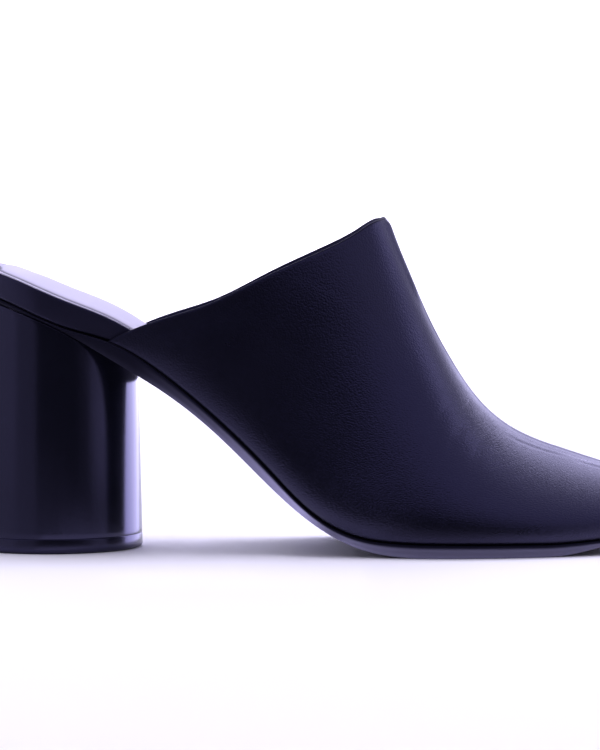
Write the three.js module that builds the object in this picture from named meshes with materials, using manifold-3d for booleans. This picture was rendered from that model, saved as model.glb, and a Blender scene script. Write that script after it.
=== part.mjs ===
// A closed-toe leather mule on a round block heel, for the right foot.
// Millimetres, +Z up. The origin is the centre of the heel's tread on the floor,
// +X points to the toe and +Y to the inner (medial) side of the foot.

import * as THREE from "three";
import { mergeVertices } from "three/addons/utils/BufferGeometryUtils.js";
import Module from "manifold-3d";

const wasm = await Module();
wasm.setup();

// Sole, seen from above
const TOE_REACH = 195; // heel axis to the tip of the sole
const SEAT_RADIUS = 26.6; // back of the seat, round the heel axis
const BALL_LATERAL = 43.2; // outer half of the ball
const BALL_MEDIAL = 39.9; // inner half of the ball
const TOE_SHIFT = 3.5; // the tip lies this far to the inner side
const TOE_LENGTH = 90; // the stretch over which the outline closes to the tip
const TOE_SQUARENESS = 2.25; // 2 is an ellipse, more is squarer

// Sole, seen from the side
const SEAT_RISE = 79.4; // floor to the underside at the back of the seat
const TOE_SPRING = 6.3; // floor to the underside at the tip
const SOLE_THICKNESS = 4.1; // under the ball
const EDGE_BEVEL = 1.2; // the underside is this much narrower all round
const EDGE_ROUNDING = 0.5; // upper corner of the sole's edge

// Insole board and sock
const BOARD_THICKNESS = 7.9; // at the seat
const BOARD_ROUNDING = 0.7; // corners of the wrapped board
const TUCK_LENGTH = 24; // the board narrows over this length on each side of the upper's tail
const SOCK_THICKNESS = 0.9;
const SOCK_ROUNDING = 0.3; // upper corner of the sock's edge
const PAD_INSET = 9; // edge of the sole to the foot of the raised field
const RIM_RISE = 0.2; // the sock slopes up to the field by this much
const PAD_SHOULDER = 2.2; // width of the slope up to the field
const PAD_RISE = 0.3; // step up to the field
const PAD_FULLNESS = 0.8; // share of that step climbed half way over its slope
const PAD_CROWN = 1.3; // the padded field is this much higher along its middle

// Upper
const INSTEP_RISE = 94.9; // sole to the peak of the throat
const THROAT_REACH = 102; // heel axis to the peak of the throat
const COLLAR_LENGTH = 84; // peak of the throat back to the upper's outer tail, along the shoe
const TAIL_REACH = THROAT_REACH - COLLAR_LENGTH; // heel axis to that tail
const MEDIAL_TAIL_SHIFT = 3; // the inner end lies this much further forward
const UPPER_WALL = 1.8; // leather with lining
const TOPLINE_WALL = 1.2; // skived and folded edge
const TOPLINE_BAND = 0.09; // share of the rows over which the wall thins to the edge
const TOPLINE_DIP = 1.8; // deepest sag of the topline under its straight line
const MEDIAL_DIP = 0.6; // the inner topline lies this much lower
const FEATHER_INSET = 0.6; // edge of the sole to the foot of the upper
const ROLL = 2; // round the forefoot the leather rolls out this far over the sole
const ROLL_HEIGHT = 7; // height of the fullest part of that roll
const FOLD_FROM = 0.6; // share of the rows ahead of which they begin to wrap round the toe
const FOLD_TO = 0.88; // share of the rows ahead of which they wrap fully

// Heel
const HEEL_INSET = 0.5; // edge of the seat to the top of the heel
const HEEL_SEAT_RADIUS = SEAT_RADIUS - HEEL_INSET; // under the seat
const HEEL_FLARE = 1.9; // the tread is this much wider all round
const HEEL_TREAD_RADIUS = HEEL_SEAT_RADIUS + HEEL_FLARE; // at the floor
const LIFT_THICKNESS = 4.4;
const LIFT_ROUNDING = 1; // lower edge of the lift

// Fits
const CLEARANCE = 0.3; // between pieces that lie on each other
const LASTING_GAP = 0.4; // insole to the inside of the upper

// How finely the curved pieces are divided
const SEAT_STEPS = 9;
const WAIST_STEPS = 15;
const TOE_STEPS = 16;
const UPPER_ROWS = 36;
const UPPER_COLUMNS = 16; // from the sole to the ridge, on each side
const COLUMN_GROWTH = 0.35; // the columns are this much closer together at the sole
const FEATHER_REFINE = 8; // the line the upper stands on is this many times finer
const HEEL_SIDES = 64;
const CROWN_STEPS = 6;
const CUT_STEPS = 72;
const ROUNDING_STEPS = 4;
const WELD_DISTANCE = 1e-4;

// Side view of the sole. along: share of the toe's reach. rise: share of the seat's rise.
// spring: share of the toe spring. sole and board: shares of those two thicknesses.
const SIDE = [
  { along: -0.14, rise: 1, spring: 0, sole: 0.37, board: 0.83 },
  { along: -0.05, rise: 0.919, spring: 0, sole: 0.35, board: 0.96 },
  { along: 0.03, rise: 0.832, spring: 0, sole: 0.35, board: 1 },
  { along: 0.1, rise: 0.731, spring: 0, sole: 1.25, board: 0.84 },
  { along: 0.18, rise: 0.61, spring: 0, sole: 1.24, board: 0.76 },
  { along: 0.26, rise: 0.454, spring: 0, sole: 1.09, board: 0.61 },
  { along: 0.34, rise: 0.263, spring: 0, sole: 1.09, board: 0.54 },
  { along: 0.39, rise: 0.154, spring: 0, sole: 0.78, board: 0.46 },
  { along: 0.44, rise: 0.073, spring: 0, sole: 0.68, board: 0.38 },
  { along: 0.49, rise: 0.024, spring: 0, sole: 0.83, board: 0.33 },
  { along: 0.54, rise: 0.0045, spring: 0, sole: 0.97, board: 0.31 },
  { along: 0.6, rise: -0.0015, spring: 0, sole: 0.99, board: 0.31 },
  { along: 0.68, rise: -0.0025, spring: 0, sole: 0.96, board: 0.31 },
  { along: 0.76, rise: -0.0015, spring: 0.01, sole: 0.92, board: 0.31 },
  { along: 0.8, rise: 0, spring: 0.08, sole: 0.84, board: 0.31 },
  { along: 0.85, rise: 0, spring: 0.38, sole: 0.54, board: 0.29 },
  { along: 0.92, rise: 0, spring: 0.69, sole: 0.47, board: 0.27 },
  { along: 1, rise: 0, spring: 1, sole: 0.46, board: 0.27 },
];

// Top view of the sole, before its ends are rounded. along: share of the toe's reach.
// lateral and medial: shares of the two halves of the ball. shift: share of the toe's shift.
const PLAN = [
  { along: -0.14, lateral: 0.616, medial: 0.667, shift: 0 },
  { along: 0, lateral: 0.616, medial: 0.662, shift: 0 },
  { along: 0.1, lateral: 0.619, medial: 0.644, shift: 0 },
  { along: 0.205, lateral: 0.634, medial: 0.624, shift: 0 },
  { along: 0.31, lateral: 0.677, medial: 0.637, shift: 0 },
  { along: 0.41, lateral: 0.785, medial: 0.717, shift: 0 },
  { along: 0.51, lateral: 0.91, medial: 0.837, shift: 0 },
  { along: 0.59, lateral: 0.978, medial: 0.915, shift: 0.06 },
  { along: 0.67, lateral: 1, medial: 0.96, shift: 0.2 },
  { along: 0.77, lateral: 0.994, medial: 0.987, shift: 0.43 },
  { along: 0.9, lateral: 0.975, medial: 0.997, shift: 0.77 },
  { along: 1, lateral: 0.966, medial: 1, shift: 1 },
];

// Ridge and cross-sections of the upper. row: 0 at the topline, 1 at the toe's front.
// along: share of the way from the throat's peak to the tip of the sole.
// height: share of the instep's rise over the sole. aside: share of the inner half of the ball.
// lean: power of the cosine across, 1 is an ellipse, more is slimmer towards the ridge.
// stand: power of the sine upwards, less than 1 is a steeper side.
// swell: outward curve at mid height, share of the outer half of the ball.
// roll: share of the roll over the sole.
const RIDGE = [
  { row: 0, along: 0, height: 1, aside: 0, lean: 0.9, stand: 1, swell: 0.07, roll: 0 },
  { row: 0.115, along: 0.045, height: 0.898, aside: 0, lean: 0.95, stand: 1, swell: 0.065, roll: 0.1 },
  { row: 0.238, along: 0.098, height: 0.776, aside: 0.01, lean: 1, stand: 1, swell: 0.055, roll: 0.35 },
  { row: 0.371, along: 0.152, height: 0.659, aside: 0.03, lean: 1.06, stand: 1, swell: 0.04, roll: 0.7 },
  { row: 0.466, along: 0.216, height: 0.545, aside: 0.06, lean: 1.13, stand: 0.98, swell: 0.028, roll: 1 },
  { row: 0.547, along: 0.302, height: 0.4235, aside: 0.115, lean: 1.22, stand: 0.95, swell: 0.015, roll: 1 },
  { row: 0.627, along: 0.419, height: 0.328, aside: 0.19, lean: 1.31, stand: 0.92, swell: 0.006, roll: 1 },
  { row: 0.713, along: 0.57, height: 0.2655, aside: 0.26, lean: 1.36, stand: 0.9, swell: 0, roll: 1 },
  { row: 0.8, along: 0.721, height: 0.2065, aside: 0.27, lean: 1.33, stand: 0.88, swell: 0, roll: 0.95 },
  { row: 0.9, along: 0.84, height: 0.16, aside: 0.24, lean: 1.25, stand: 0.86, swell: 0, roll: 0.85 },
  { row: 1, along: 0.914, height: 0.127, aside: 0.2, lean: 1.15, stand: 0.85, swell: 0, roll: 0.8 },
];

// Sag of the topline. part: share of the way from the tail to the peak. dip: share of the dip.
const TOPLINE = [
  { part: 0, dip: 0 },
  { part: 0.1, dip: -0.12 },
  { part: 0.22, dip: 0.3 },
  { part: 0.36, dip: 0.95 },
  { part: 0.55, dip: 0.5 },
  { part: 0.78, dip: 0.35 },
  { part: 0.9, dip: -0.1 },
  { part: 0.96, dip: -0.5 },
  { part: 1, dip: -0.1 },
];

const LATERAL = -1;
const MEDIAL = 1;
const QUARTER = Math.PI / 2;

// Natural cubic spline through two columns of a table, level past both ends.
function curve(rows, place, value) {
  const x = rows.map((row) => row[place]);
  const y = rows.map((row) => row[value]);
  const last = x.length - 1;
  const bend = new Array(x.length).fill(0);
  const pull = new Array(x.length).fill(0);
  for (let i = 1; i < last; i++) {
    const share = (x[i] - x[i - 1]) / (x[i + 1] - x[i - 1]);
    const pivot = share * bend[i - 1] + 2;
    const turn = (y[i + 1] - y[i]) / (x[i + 1] - x[i]) - (y[i] - y[i - 1]) / (x[i] - x[i - 1]);
    bend[i] = (share - 1) / pivot;
    pull[i] = ((6 * turn) / (x[i + 1] - x[i - 1]) - share * pull[i - 1]) / pivot;
  }
  for (let i = last - 1; i > 0; i--) {
    bend[i] = bend[i] * bend[i + 1] + pull[i];
  }
  return (at) => {
    const within = THREE.MathUtils.clamp(at, x[0], x[last]);
    let i = 0;
    while (i < last - 1 && within > x[i + 1]) i++;
    const step = x[i + 1] - x[i];
    const before = (x[i + 1] - within) / step;
    const after = 1 - before;
    const bent = (before ** 3 - before) * bend[i] + (after ** 3 - after) * bend[i + 1];
    return before * y[i] + after * y[i + 1] + (bent * step ** 2) / 6;
  };
}

// Heights of the sole at a place along it
const riseAt = curve(SIDE, "along", "rise");
const springAt = curve(SIDE, "along", "spring");
const soleAt = curve(SIDE, "along", "sole");
const boardAt = curve(SIDE, "along", "board");

function underside(x) {
  const along = x / TOE_REACH;
  return Math.max(0, SEAT_RISE * riseAt(along) + TOE_SPRING * springAt(along));
}

function soleTop(x) {
  return underside(x) + SOLE_THICKNESS * soleAt(x / TOE_REACH);
}

function boardTop(x) {
  return soleTop(x) + CLEARANCE + BOARD_THICKNESS * boardAt(x / TOE_REACH);
}

// Outline of the sole from above
const lateralAt = curve(PLAN, "along", "lateral");
const medialAt = curve(PLAN, "along", "medial");
const shiftAt = curve(PLAN, "along", "shift");

function edge(side, x) {
  const along = x / TOE_REACH;
  const half = side === LATERAL ? BALL_LATERAL * lateralAt(along) : BALL_MEDIAL * medialAt(along);
  const back = Math.min(1, Math.max(0, -x / SEAT_RADIUS));
  const front = Math.min(1, Math.max(0, 1 - (TOE_REACH - x) / TOE_LENGTH));
  const closing = Math.sqrt(1 - back ** 2) * (1 - front ** TOE_SQUARENESS) ** (1 / TOE_SQUARENESS);
  return TOE_SHIFT * shiftAt(along) + side * half * closing;
}

const constant = (value) => () => value;

// Places along the sole, closer together where its outline turns at the two ends.
function stations(refine = 1) {
  const places = [];
  const seat = SEAT_STEPS * refine;
  const waist = WAIST_STEPS * refine;
  const toe = TOE_STEPS * refine;
  for (let i = 0; i < seat; i++) {
    places.push(-SEAT_RADIUS * Math.cos((QUARTER * i) / seat));
  }
  for (let i = 0; i < waist; i++) {
    places.push(((TOE_REACH - TOE_LENGTH) * i) / waist);
  }
  for (let i = 0; i <= toe; i++) {
    const turn = Math.sin((QUARTER * i) / toe) ** (2 / TOE_SQUARENESS);
    places.push(TOE_REACH - TOE_LENGTH * (1 - turn));
  }
  return places;
}

// The outline moved inwards: one point on each side for each place, meeting at the two ends.
function rim(places, inset) {
  const last = places.length - 1;
  const middle = (i) => (edge(LATERAL, places[i]) + edge(MEDIAL, places[i])) / 2;
  const at = (side, i) => new THREE.Vector2(places[i], i % last ? edge(side, places[i]) : middle(i));
  const moved = (side, i) => {
    const before = i === 0 ? at(-side, 1) : at(side, i - 1);
    const after = i === last ? at(-side, last - 1) : at(side, i + 1);
    const run = after.sub(before).normalize();
    const inwards = new THREE.Vector2(run.y, -run.x).multiplyScalar(side * inset(places[i]));
    return at(side, i).add(inwards);
  };
  const line = (side) => places.map((x, i) => moved(side, i));
  return { lateral: line(LATERAL), medial: line(MEDIAL) };
}

// A flat-lying piece with the outline of the sole. Each layer is a ring round the outline,
// from the bottom to the top, with its own inset and height. The underside is closed straight
// across, and the top may be crowned where it is wide enough.
function slab(places, layers, crown = constant(0)) {
  const last = places.length - 1;
  const size = 2 * last;
  const positions = [];
  const triangles = [];
  for (const layer of layers) {
    const { lateral, medial } = rim(places, layer.inset);
    const ring = [...lateral, ...medial.slice(1, last).reverse()];
    for (const p of ring) {
      positions.push(p.x, p.y, layer.height(p.x));
    }
  }
  for (let k = 0; k + 1 < layers.length; k++) {
    for (let i = 0; i < size; i++) {
      const a = k * size + i;
      const b = k * size + ((i + 1) % size);
      triangles.push(a, b, a + size, b, b + size, a + size);
    }
  }
  const top = (layers.length - 1) * size;
  const heightAt = layers[layers.length - 1].height;
  const rungs = [];
  for (let i = 0; i <= last; i++) {
    const left = i;
    const right = (size - i) % size;
    const rung = [top + left];
    const near = new THREE.Vector2(...positions.slice(3 * (top + left), 3 * (top + left) + 2));
    const far = new THREE.Vector2(...positions.slice(3 * (top + right), 3 * (top + right) + 2));
    const fullness = THREE.MathUtils.smoothstep(near.distanceTo(far), 0, SEAT_RADIUS);
    for (let j = 1; j < CROWN_STEPS && left !== right; j++) {
      const part = j / CROWN_STEPS;
      const { x, y } = near.clone().lerp(far, part);
      rung.push(positions.length / 3);
      positions.push(x, y, heightAt(x) + crown(x) * fullness * 4 * part * (1 - part));
    }
    if (left !== right) rung.push(top + right);
    rungs.push(rung);
    if (i > 0 && i < last) triangles.push(i - 1, (size - i + 1) % size, size - i);
    if (i > 0 && i < last) triangles.push(i - 1, size - i, i);
  }
  triangles.push(last - 1, last + 1, last);
  for (let i = 0; i < last; i++) {
    for (let j = 0; j < CROWN_STEPS; j++) {
      const step = (rung, k) => rung[Math.min(k, rung.length - 1)];
      const [a, d] = [step(rungs[i], j), step(rungs[i], j + 1)];
      const [b, c] = [step(rungs[i + 1], j), step(rungs[i + 1], j + 1)];
      if (b !== c) triangles.push(a, b, c);
      if (a !== d) triangles.push(a, c, d);
    }
  }
  return solidGeometry(positions, triangles);
}

function solidGeometry(positions, triangles) {
  const geometry = new THREE.BufferGeometry();
  geometry.setAttribute("position", new THREE.Float32BufferAttribute(positions, 3));
  geometry.setIndex(triangles);
  return geometry;
}

function makeOutsole() {
  const shoulder = (x) => soleTop(x) - EDGE_ROUNDING;
  return slab(stations(), [
    { inset: constant(EDGE_BEVEL), height: underside },
    { inset: constant(0), height: shoulder },
    { inset: constant(EDGE_ROUNDING), height: soleTop },
  ]);
}

// The board's side is level with the sole round the seat. It draws in behind the upper's tail,
// and once more as the wall of the upper grows to its full thickness.
function boardInset(x) {
  const behind = THREE.MathUtils.smoothstep(x, TAIL_REACH - TUCK_LENGTH, TAIL_REACH);
  const ahead = THREE.MathUtils.smoothstep(x, TAIL_REACH, TAIL_REACH + TUCK_LENGTH);
  const atTail = FEATHER_INSET + TOPLINE_WALL + LASTING_GAP;
  return atTail * behind + (UPPER_WALL - TOPLINE_WALL) * ahead;
}

function makeInsole() {
  const foot = (x) => soleTop(x) + CLEARANCE;
  return slab(stations(), [
    { inset: (x) => boardInset(x) + BOARD_ROUNDING, height: foot },
    { inset: boardInset, height: (x) => foot(x) + BOARD_ROUNDING },
    { inset: boardInset, height: (x) => boardTop(x) - BOARD_ROUNDING / 2 },
    { inset: (x) => boardInset(x) + BOARD_ROUNDING / 2, height: boardTop },
  ]);
}

function makeSock() {
  const foot = (x) => boardTop(x) + CLEARANCE;
  const rest = (x) => foot(x) + SOCK_THICKNESS;
  const field = (x) => rest(x) + RIM_RISE;
  const sockInset = (x) => boardInset(x) + BOARD_ROUNDING / 2;
  return slab(stations(), [
    { inset: sockInset, height: foot },
    { inset: sockInset, height: (x) => rest(x) - SOCK_ROUNDING },
    { inset: (x) => sockInset(x) + SOCK_ROUNDING, height: rest },
    { inset: constant(PAD_INSET), height: field },
    { inset: constant(PAD_INSET + PAD_SHOULDER / 2), height: (x) => field(x) + PAD_RISE * PAD_FULLNESS },
    { inset: constant(PAD_INSET + PAD_SHOULDER), height: (x) => field(x) + PAD_RISE },
  ], (x) => PAD_CROWN * boardAt(x / TOE_REACH));
}

// The line on the sole where the upper stands, read by the share of its length from tail to toe.
function featherLine(side) {
  const line = rim(stations(FEATHER_REFINE), constant(FEATHER_INSET))[side === LATERAL ? "lateral" : "medial"];
  const tail = TAIL_REACH + (side === MEDIAL ? MEDIAL_TAIL_SHIFT : 0);
  const ahead = line.filter((p) => p.x > tail);
  const behind = line[line.indexOf(ahead[0]) - 1];
  const start = behind.clone().lerp(ahead[0], (tail - behind.x) / (ahead[0].x - behind.x));
  const points = [start, ...ahead].map((p) => new THREE.Vector3(p.x, p.y, soleTop(p.x) + CLEARANCE));
  const lengths = [0];
  for (let i = 1; i < points.length; i++) {
    lengths.push(lengths[i - 1] + points[i].distanceTo(points[i - 1]));
  }
  const total = lengths[lengths.length - 1];
  return (row) => {
    const wanted = row * total;
    let i = 1;
    while (i < points.length - 1 && lengths[i] < wanted) i++;
    const part = (wanted - lengths[i - 1]) / (lengths[i] - lengths[i - 1]);
    const run = points[i].clone().sub(points[i - 1]);
    const outwards = new THREE.Vector3(-side * run.y, side * run.x, 0).normalize();
    return { foot: points[i - 1].clone().addScaledVector(run, part), outwards };
  };
}

// Shape of the upper's outer surface
const ridgeAlong = curve(RIDGE, "row", "along");
const ridgeHeight = curve(RIDGE, "row", "height");
const ridgeAside = curve(RIDGE, "row", "aside");
const leanAt = curve(RIDGE, "row", "lean");
const standAt = curve(RIDGE, "row", "stand");
const swellAt = curve(RIDGE, "row", "swell");
const rollAt = curve(RIDGE, "row", "roll");
const dipAt = curve(TOPLINE, "part", "dip");

function ridge(row) {
  const x = THROAT_REACH + (TOE_REACH - THROAT_REACH) * ridgeAlong(row);
  const y = BALL_MEDIAL * ridgeAside(row);
  return new THREE.Vector3(x, y, soleTop(x) + INSTEP_RISE * ridgeHeight(row));
}

function upperPoint(side, row, angle, feather) {
  const { foot, outwards } = feather(row);
  const reach = ridge(row).sub(foot);
  const fold = THREE.MathUtils.smoothstep(row, FOLD_FROM, FOLD_TO);
  const across = 1 - Math.cos(angle) ** leanAt(row);
  const up = Math.sin(angle) ** standAt(row);
  const point = foot.clone();
  point.x += reach.x * (fold * across + (1 - fold) * up);
  point.y += reach.y * across;
  point.z += reach.z * up;
  const nearEdge = Math.exp(-((row / TOPLINE_BAND) ** 2));
  const sag = TOPLINE_DIP * dipAt(up) + (side === MEDIAL ? MEDIAL_DIP * Math.sin(Math.PI * up) : 0);
  point.z -= sag * nearEdge;
  const lift = Math.max(0, point.z - soleTop(point.x) - CLEARANCE) / ROLL_HEIGHT;
  const roll = ROLL * rollAt(row) * lift * Math.exp(1 - lift) * Math.cos(angle) ** 2;
  const swell = BALL_LATERAL * swellAt(row) * Math.sin(2 * angle);
  return point.addScaledVector(outwards, roll + swell);
}

// The whole shell: an outer and an inner skin joined at the topline and along the sole.
// Both sides share the ridge, and the last row is folded so that they meet at the toe's front.
function makeUpper() {
  const width = 2 * UPPER_COLUMNS + 1;
  const id = (i, j) => i * width + (i === UPPER_ROWS ? Math.min(j, width - 1 - j) : j);
  const feathers = { [LATERAL]: featherLine(LATERAL), [MEDIAL]: featherLine(MEDIAL) };
  const outer = [];
  for (let i = 0; i <= UPPER_ROWS; i++) {
    for (let j = 0; j < width; j++) {
      const side = j <= UPPER_COLUMNS ? LATERAL : MEDIAL;
      const part = Math.min(j, width - 1 - j) / UPPER_COLUMNS;
      const angle = QUARTER * part * (1 - COLUMN_GROWTH * (1 - part));
      outer.push(...upperPoint(side, i / UPPER_ROWS, angle, feathers[side]).toArray());
    }
  }
  const skin = [];
  for (let i = 0; i < UPPER_ROWS; i++) {
    for (let j = 0; j < width - 1; j++) {
      const [a, b, c, d] = [id(i, j), id(i + 1, j), id(i + 1, j + 1), id(i, j + 1)];
      skin.push(a, b, c, a, c, d);
    }
  }
  const surface = solidGeometry(outer, skin);
  surface.computeVertexNormals();
  const normals = surface.getAttribute("normal");
  const inner = [];
  for (let v = 0; v < outer.length / 3; v++) {
    const row = Math.floor(v / width);
    const column = v % width;
    const inwards = new THREE.Vector3().fromBufferAttribute(normals, v);
    if (column === 0 || column === width - 1) inwards.setZ(0).normalize();
    const edgeShare = Math.min(1, row / UPPER_ROWS / TOPLINE_BAND);
    const wall = TOPLINE_WALL + (UPPER_WALL - TOPLINE_WALL) * edgeShare;
    const point = new THREE.Vector3().fromArray(outer, 3 * v);
    inner.push(...point.addScaledVector(inwards, -wall).toArray());
  }
  const count = outer.length / 3;
  const triangles = [...skin];
  for (let k = 0; k < skin.length; k += 3) {
    triangles.push(skin[k] + count, skin[k + 2] + count, skin[k + 1] + count);
  }
  const rib = (a, b) => triangles.push(b, a, a + count, b, a + count, b + count);
  for (let j = 0; j < width - 1; j++) {
    rib(id(0, j + 1), id(0, j));
  }
  for (let i = 0; i < UPPER_ROWS; i++) {
    rib(id(i, 0), id(i + 1, 0));
    rib(id(i + 1, width - 1), id(i, width - 1));
  }
  return solidGeometry([...outer, ...inner], triangles);
}

// Heel and lift are turned about the heel axis.
function turned(profile) {
  const points = profile.map(([radius, height]) => new THREE.Vector2(radius, height));
  const geometry = new THREE.LatheGeometry(points, HEEL_SIDES);
  geometry.rotateX(QUARTER);
  return geometry;
}

function heelRadius(height) {
  const share = height / SEAT_RISE;
  return HEEL_TREAD_RADIUS + (HEEL_SEAT_RADIUS - HEEL_TREAD_RADIUS) * share;
}

function makeTopLift() {
  const rounded = [];
  for (let i = 0; i <= ROUNDING_STEPS; i++) {
    const turn = (QUARTER * i) / ROUNDING_STEPS;
    const radius = heelRadius(0) - LIFT_ROUNDING * (1 - Math.sin(turn));
    rounded.push([radius, LIFT_ROUNDING * (1 - Math.cos(turn))]);
  }
  return turned([[0, 0], ...rounded, [heelRadius(LIFT_THICKNESS), LIFT_THICKNESS], [0, LIFT_THICKNESS]]);
}

function toManifold(geometry) {
  const bare = geometry.index ? geometry.toNonIndexed() : geometry.clone();
  bare.deleteAttribute("normal");
  bare.deleteAttribute("uv");
  const merged = mergeVertices(bare, WELD_DISTANCE);
  return new wasm.Manifold(
    new wasm.Mesh({
      numProp: 3,
      vertProperties: merged.getAttribute("position").array,
      triVerts: new Uint32Array(merged.index.array),
    }),
  );
}

// The block is cut on top by the underside of the sole, less the clearance.
function makeHeel() {
  const foot = LIFT_THICKNESS + CLEARANCE;
  const above = SEAT_RISE + SEAT_RADIUS;
  const block = turned([[0, foot], [heelRadius(foot), foot], [heelRadius(above), above], [0, above]]);
  const reach = 2 * HEEL_TREAD_RADIUS;
  const shape = new THREE.Shape();
  shape.moveTo(-reach, 2 * above);
  for (let i = 0; i <= CUT_STEPS; i++) {
    const x = reach * ((2 * i) / CUT_STEPS - 1);
    shape.lineTo(x, underside(x) - CLEARANCE);
  }
  shape.lineTo(reach, 2 * above);
  const cutter = new THREE.ExtrudeGeometry(shape, { depth: 2 * reach, bevelEnabled: false });
  cutter.translate(0, 0, -reach);
  cutter.rotateX(QUARTER);
  const cut = toManifold(block).subtract(toManifold(cutter)).getMesh();
  return solidGeometry([...cut.vertProperties], [...cut.triVerts]);
}

const DARK_LEATHER = new THREE.MeshStandardMaterial({ color: 0x17162a, roughness: 0.36, metalness: 0 });
const LIGHT_LEATHER = new THREE.MeshStandardMaterial({ color: 0xb9b2da, roughness: 0.5, metalness: 0 });
const SOLE_FINISH = new THREE.MeshStandardMaterial({ color: 0x14131f, roughness: 0.3, metalness: 0 });
const LIFT_RUBBER = new THREE.MeshStandardMaterial({ color: 0x121118, roughness: 0.55, metalness: 0 });

function piece(name, geometry, material) {
  const mesh = new THREE.Mesh(geometry, material);
  mesh.name = name;
  return mesh;
}

const shoe = new THREE.Group();
shoe.add(piece("upper", makeUpper(), DARK_LEATHER));
shoe.add(piece("outsole", makeOutsole(), SOLE_FINISH));
shoe.add(piece("insole", makeInsole(), DARK_LEATHER));
shoe.add(piece("sock", makeSock(), LIGHT_LEATHER));
shoe.add(piece("heel", makeHeel(), DARK_LEATHER));
shoe.add(piece("top_lift", makeTopLift(), LIFT_RUBBER));

export default shoe;
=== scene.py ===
"""Looks of a closed-toe leather mule on a round block heel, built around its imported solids.

Sizes are in millimetres on the shoe's own axes: the origin is the middle of the heel's tread,
+X points to the toe, +Y to the inner side of the foot and +Z up. Meshes are made in metres.
"""

from __future__ import annotations

import logging
import math
from dataclasses import dataclass
from enum import Enum
from typing import Callable, Sequence

import bpy
import numpy as np
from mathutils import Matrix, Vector

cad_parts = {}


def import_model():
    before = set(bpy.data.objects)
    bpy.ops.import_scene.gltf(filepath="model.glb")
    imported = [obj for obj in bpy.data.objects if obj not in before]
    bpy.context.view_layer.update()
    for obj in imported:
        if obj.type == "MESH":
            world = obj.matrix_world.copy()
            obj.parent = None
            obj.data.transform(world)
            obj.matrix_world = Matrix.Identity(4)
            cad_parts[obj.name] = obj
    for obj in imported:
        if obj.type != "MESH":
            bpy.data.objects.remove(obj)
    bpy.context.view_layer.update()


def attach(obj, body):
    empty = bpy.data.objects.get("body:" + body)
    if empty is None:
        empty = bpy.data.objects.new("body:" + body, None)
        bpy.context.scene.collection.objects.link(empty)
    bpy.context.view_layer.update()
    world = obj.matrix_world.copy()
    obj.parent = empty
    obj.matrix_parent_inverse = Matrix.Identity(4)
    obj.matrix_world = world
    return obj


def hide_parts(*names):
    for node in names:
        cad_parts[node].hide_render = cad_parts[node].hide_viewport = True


LOG = logging.getLogger("mule")
METRES = 0.001
QUARTER = math.pi / 2
FAR = 1e3

Profile = Callable[[np.ndarray], np.ndarray]


class Side(Enum):
    """The two halves of the shoe, with the sign of their Y."""

    LATERAL = -1
    MEDIAL = 1

    def half(self, middle: int) -> slice:
        """Returns this half's columns in a grid whose middle column is the ridge."""
        return slice(0, middle + 1) if self is Side.LATERAL else slice(middle, None)


def smoothstep(value: np.ndarray, low: float, high: float) -> np.ndarray:
    """Eases from 0 at low to 1 at high.

    Args:
        value: Numbers to ease.
        low: Where the result leaves 0.
        high: Where the result reaches 1.

    Returns:
        The eased numbers.
    """
    part = np.clip((value - low) / (high - low), 0, 1)
    return part * part * (3 - 2 * part)


def level(value: float) -> Profile:
    """Returns a profile that has the same value everywhere."""
    return lambda x: np.full(np.shape(x), float(value))


def unit(vectors: np.ndarray) -> np.ndarray:
    """Returns the rows of vectors at length one."""
    return vectors / np.maximum(np.linalg.norm(vectors, axis=-1, keepdims=True), 1e-12)


def mirrored(shares: np.ndarray) -> np.ndarray:
    """Returns the shares of one half followed by those of the other, back from the ridge."""
    return np.concatenate([shares, shares[-2::-1]])


def trough(away: np.ndarray) -> np.ndarray:
    """A soft trough one deep, with a low ridge on each side.

    Args:
        away: Distance from its middle, in widths of the trough.

    Returns:
        The depth there, which is less than nought on the ridges.
    """
    ridge = 1.1
    return (1 - ridge * away**2) * np.exp(-(away**2))


@dataclass(frozen=True)
class Crowding:
    """Lines of a grid that stand closer together beside an edge."""

    first: float
    growth: float
    count: int

    def steps(self) -> np.ndarray:
        """Returns how far each line stands from the edge, as a share, nearest first."""
        return self.first * np.cumsum(self.growth ** np.arange(self.count))


class Curve:
    """Natural cubic spline through a short table, level past both ends."""

    def __init__(self, places: Sequence[float], values: Sequence[float]) -> None:
        """Solves for the bend at every row of the table.

        Args:
            places: Rising places of the rows.
            values: Values at those places.
        """
        self.places = np.array(places, float)
        self.values = np.array(values, float)
        step = np.diff(self.places)
        slope = np.diff(self.values) / step
        system = np.eye(len(self.places))
        turn = np.zeros(len(self.places))
        for i in range(1, len(self.places) - 1):
            system[i, i - 1 : i + 2] = step[i - 1], 2 * (step[i - 1] + step[i]), step[i]
            turn[i] = 6 * (slope[i] - slope[i - 1])
        self.bend = np.linalg.solve(system, turn)

    def __call__(self, at: np.ndarray) -> np.ndarray:
        """Reads the curve.

        Args:
            at: Places to read.

        Returns:
            The values there.
        """
        within = np.clip(at, self.places[0], self.places[-1])
        i = np.clip(np.searchsorted(self.places, within) - 1, 0, len(self.places) - 2)
        step = self.places[i + 1] - self.places[i]
        before = (self.places[i + 1] - within) / step
        after = 1 - before
        bent = (before**3 - before) * self.bend[i] + (after**3 - after) * self.bend[i + 1]
        return before * self.values[i] + after * self.values[i + 1] + bent * step**2 / 6


def column_curves(rows: Sequence[Sequence[float]]) -> list[Curve]:
    """Fits one curve to each column of a table after its first, which holds the places.

    Args:
        rows: The table.

    Returns:
        The curves, in the order of the columns.
    """
    columns = list(zip(*rows))
    return [Curve(columns[0], column) for column in columns[1:]]


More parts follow.
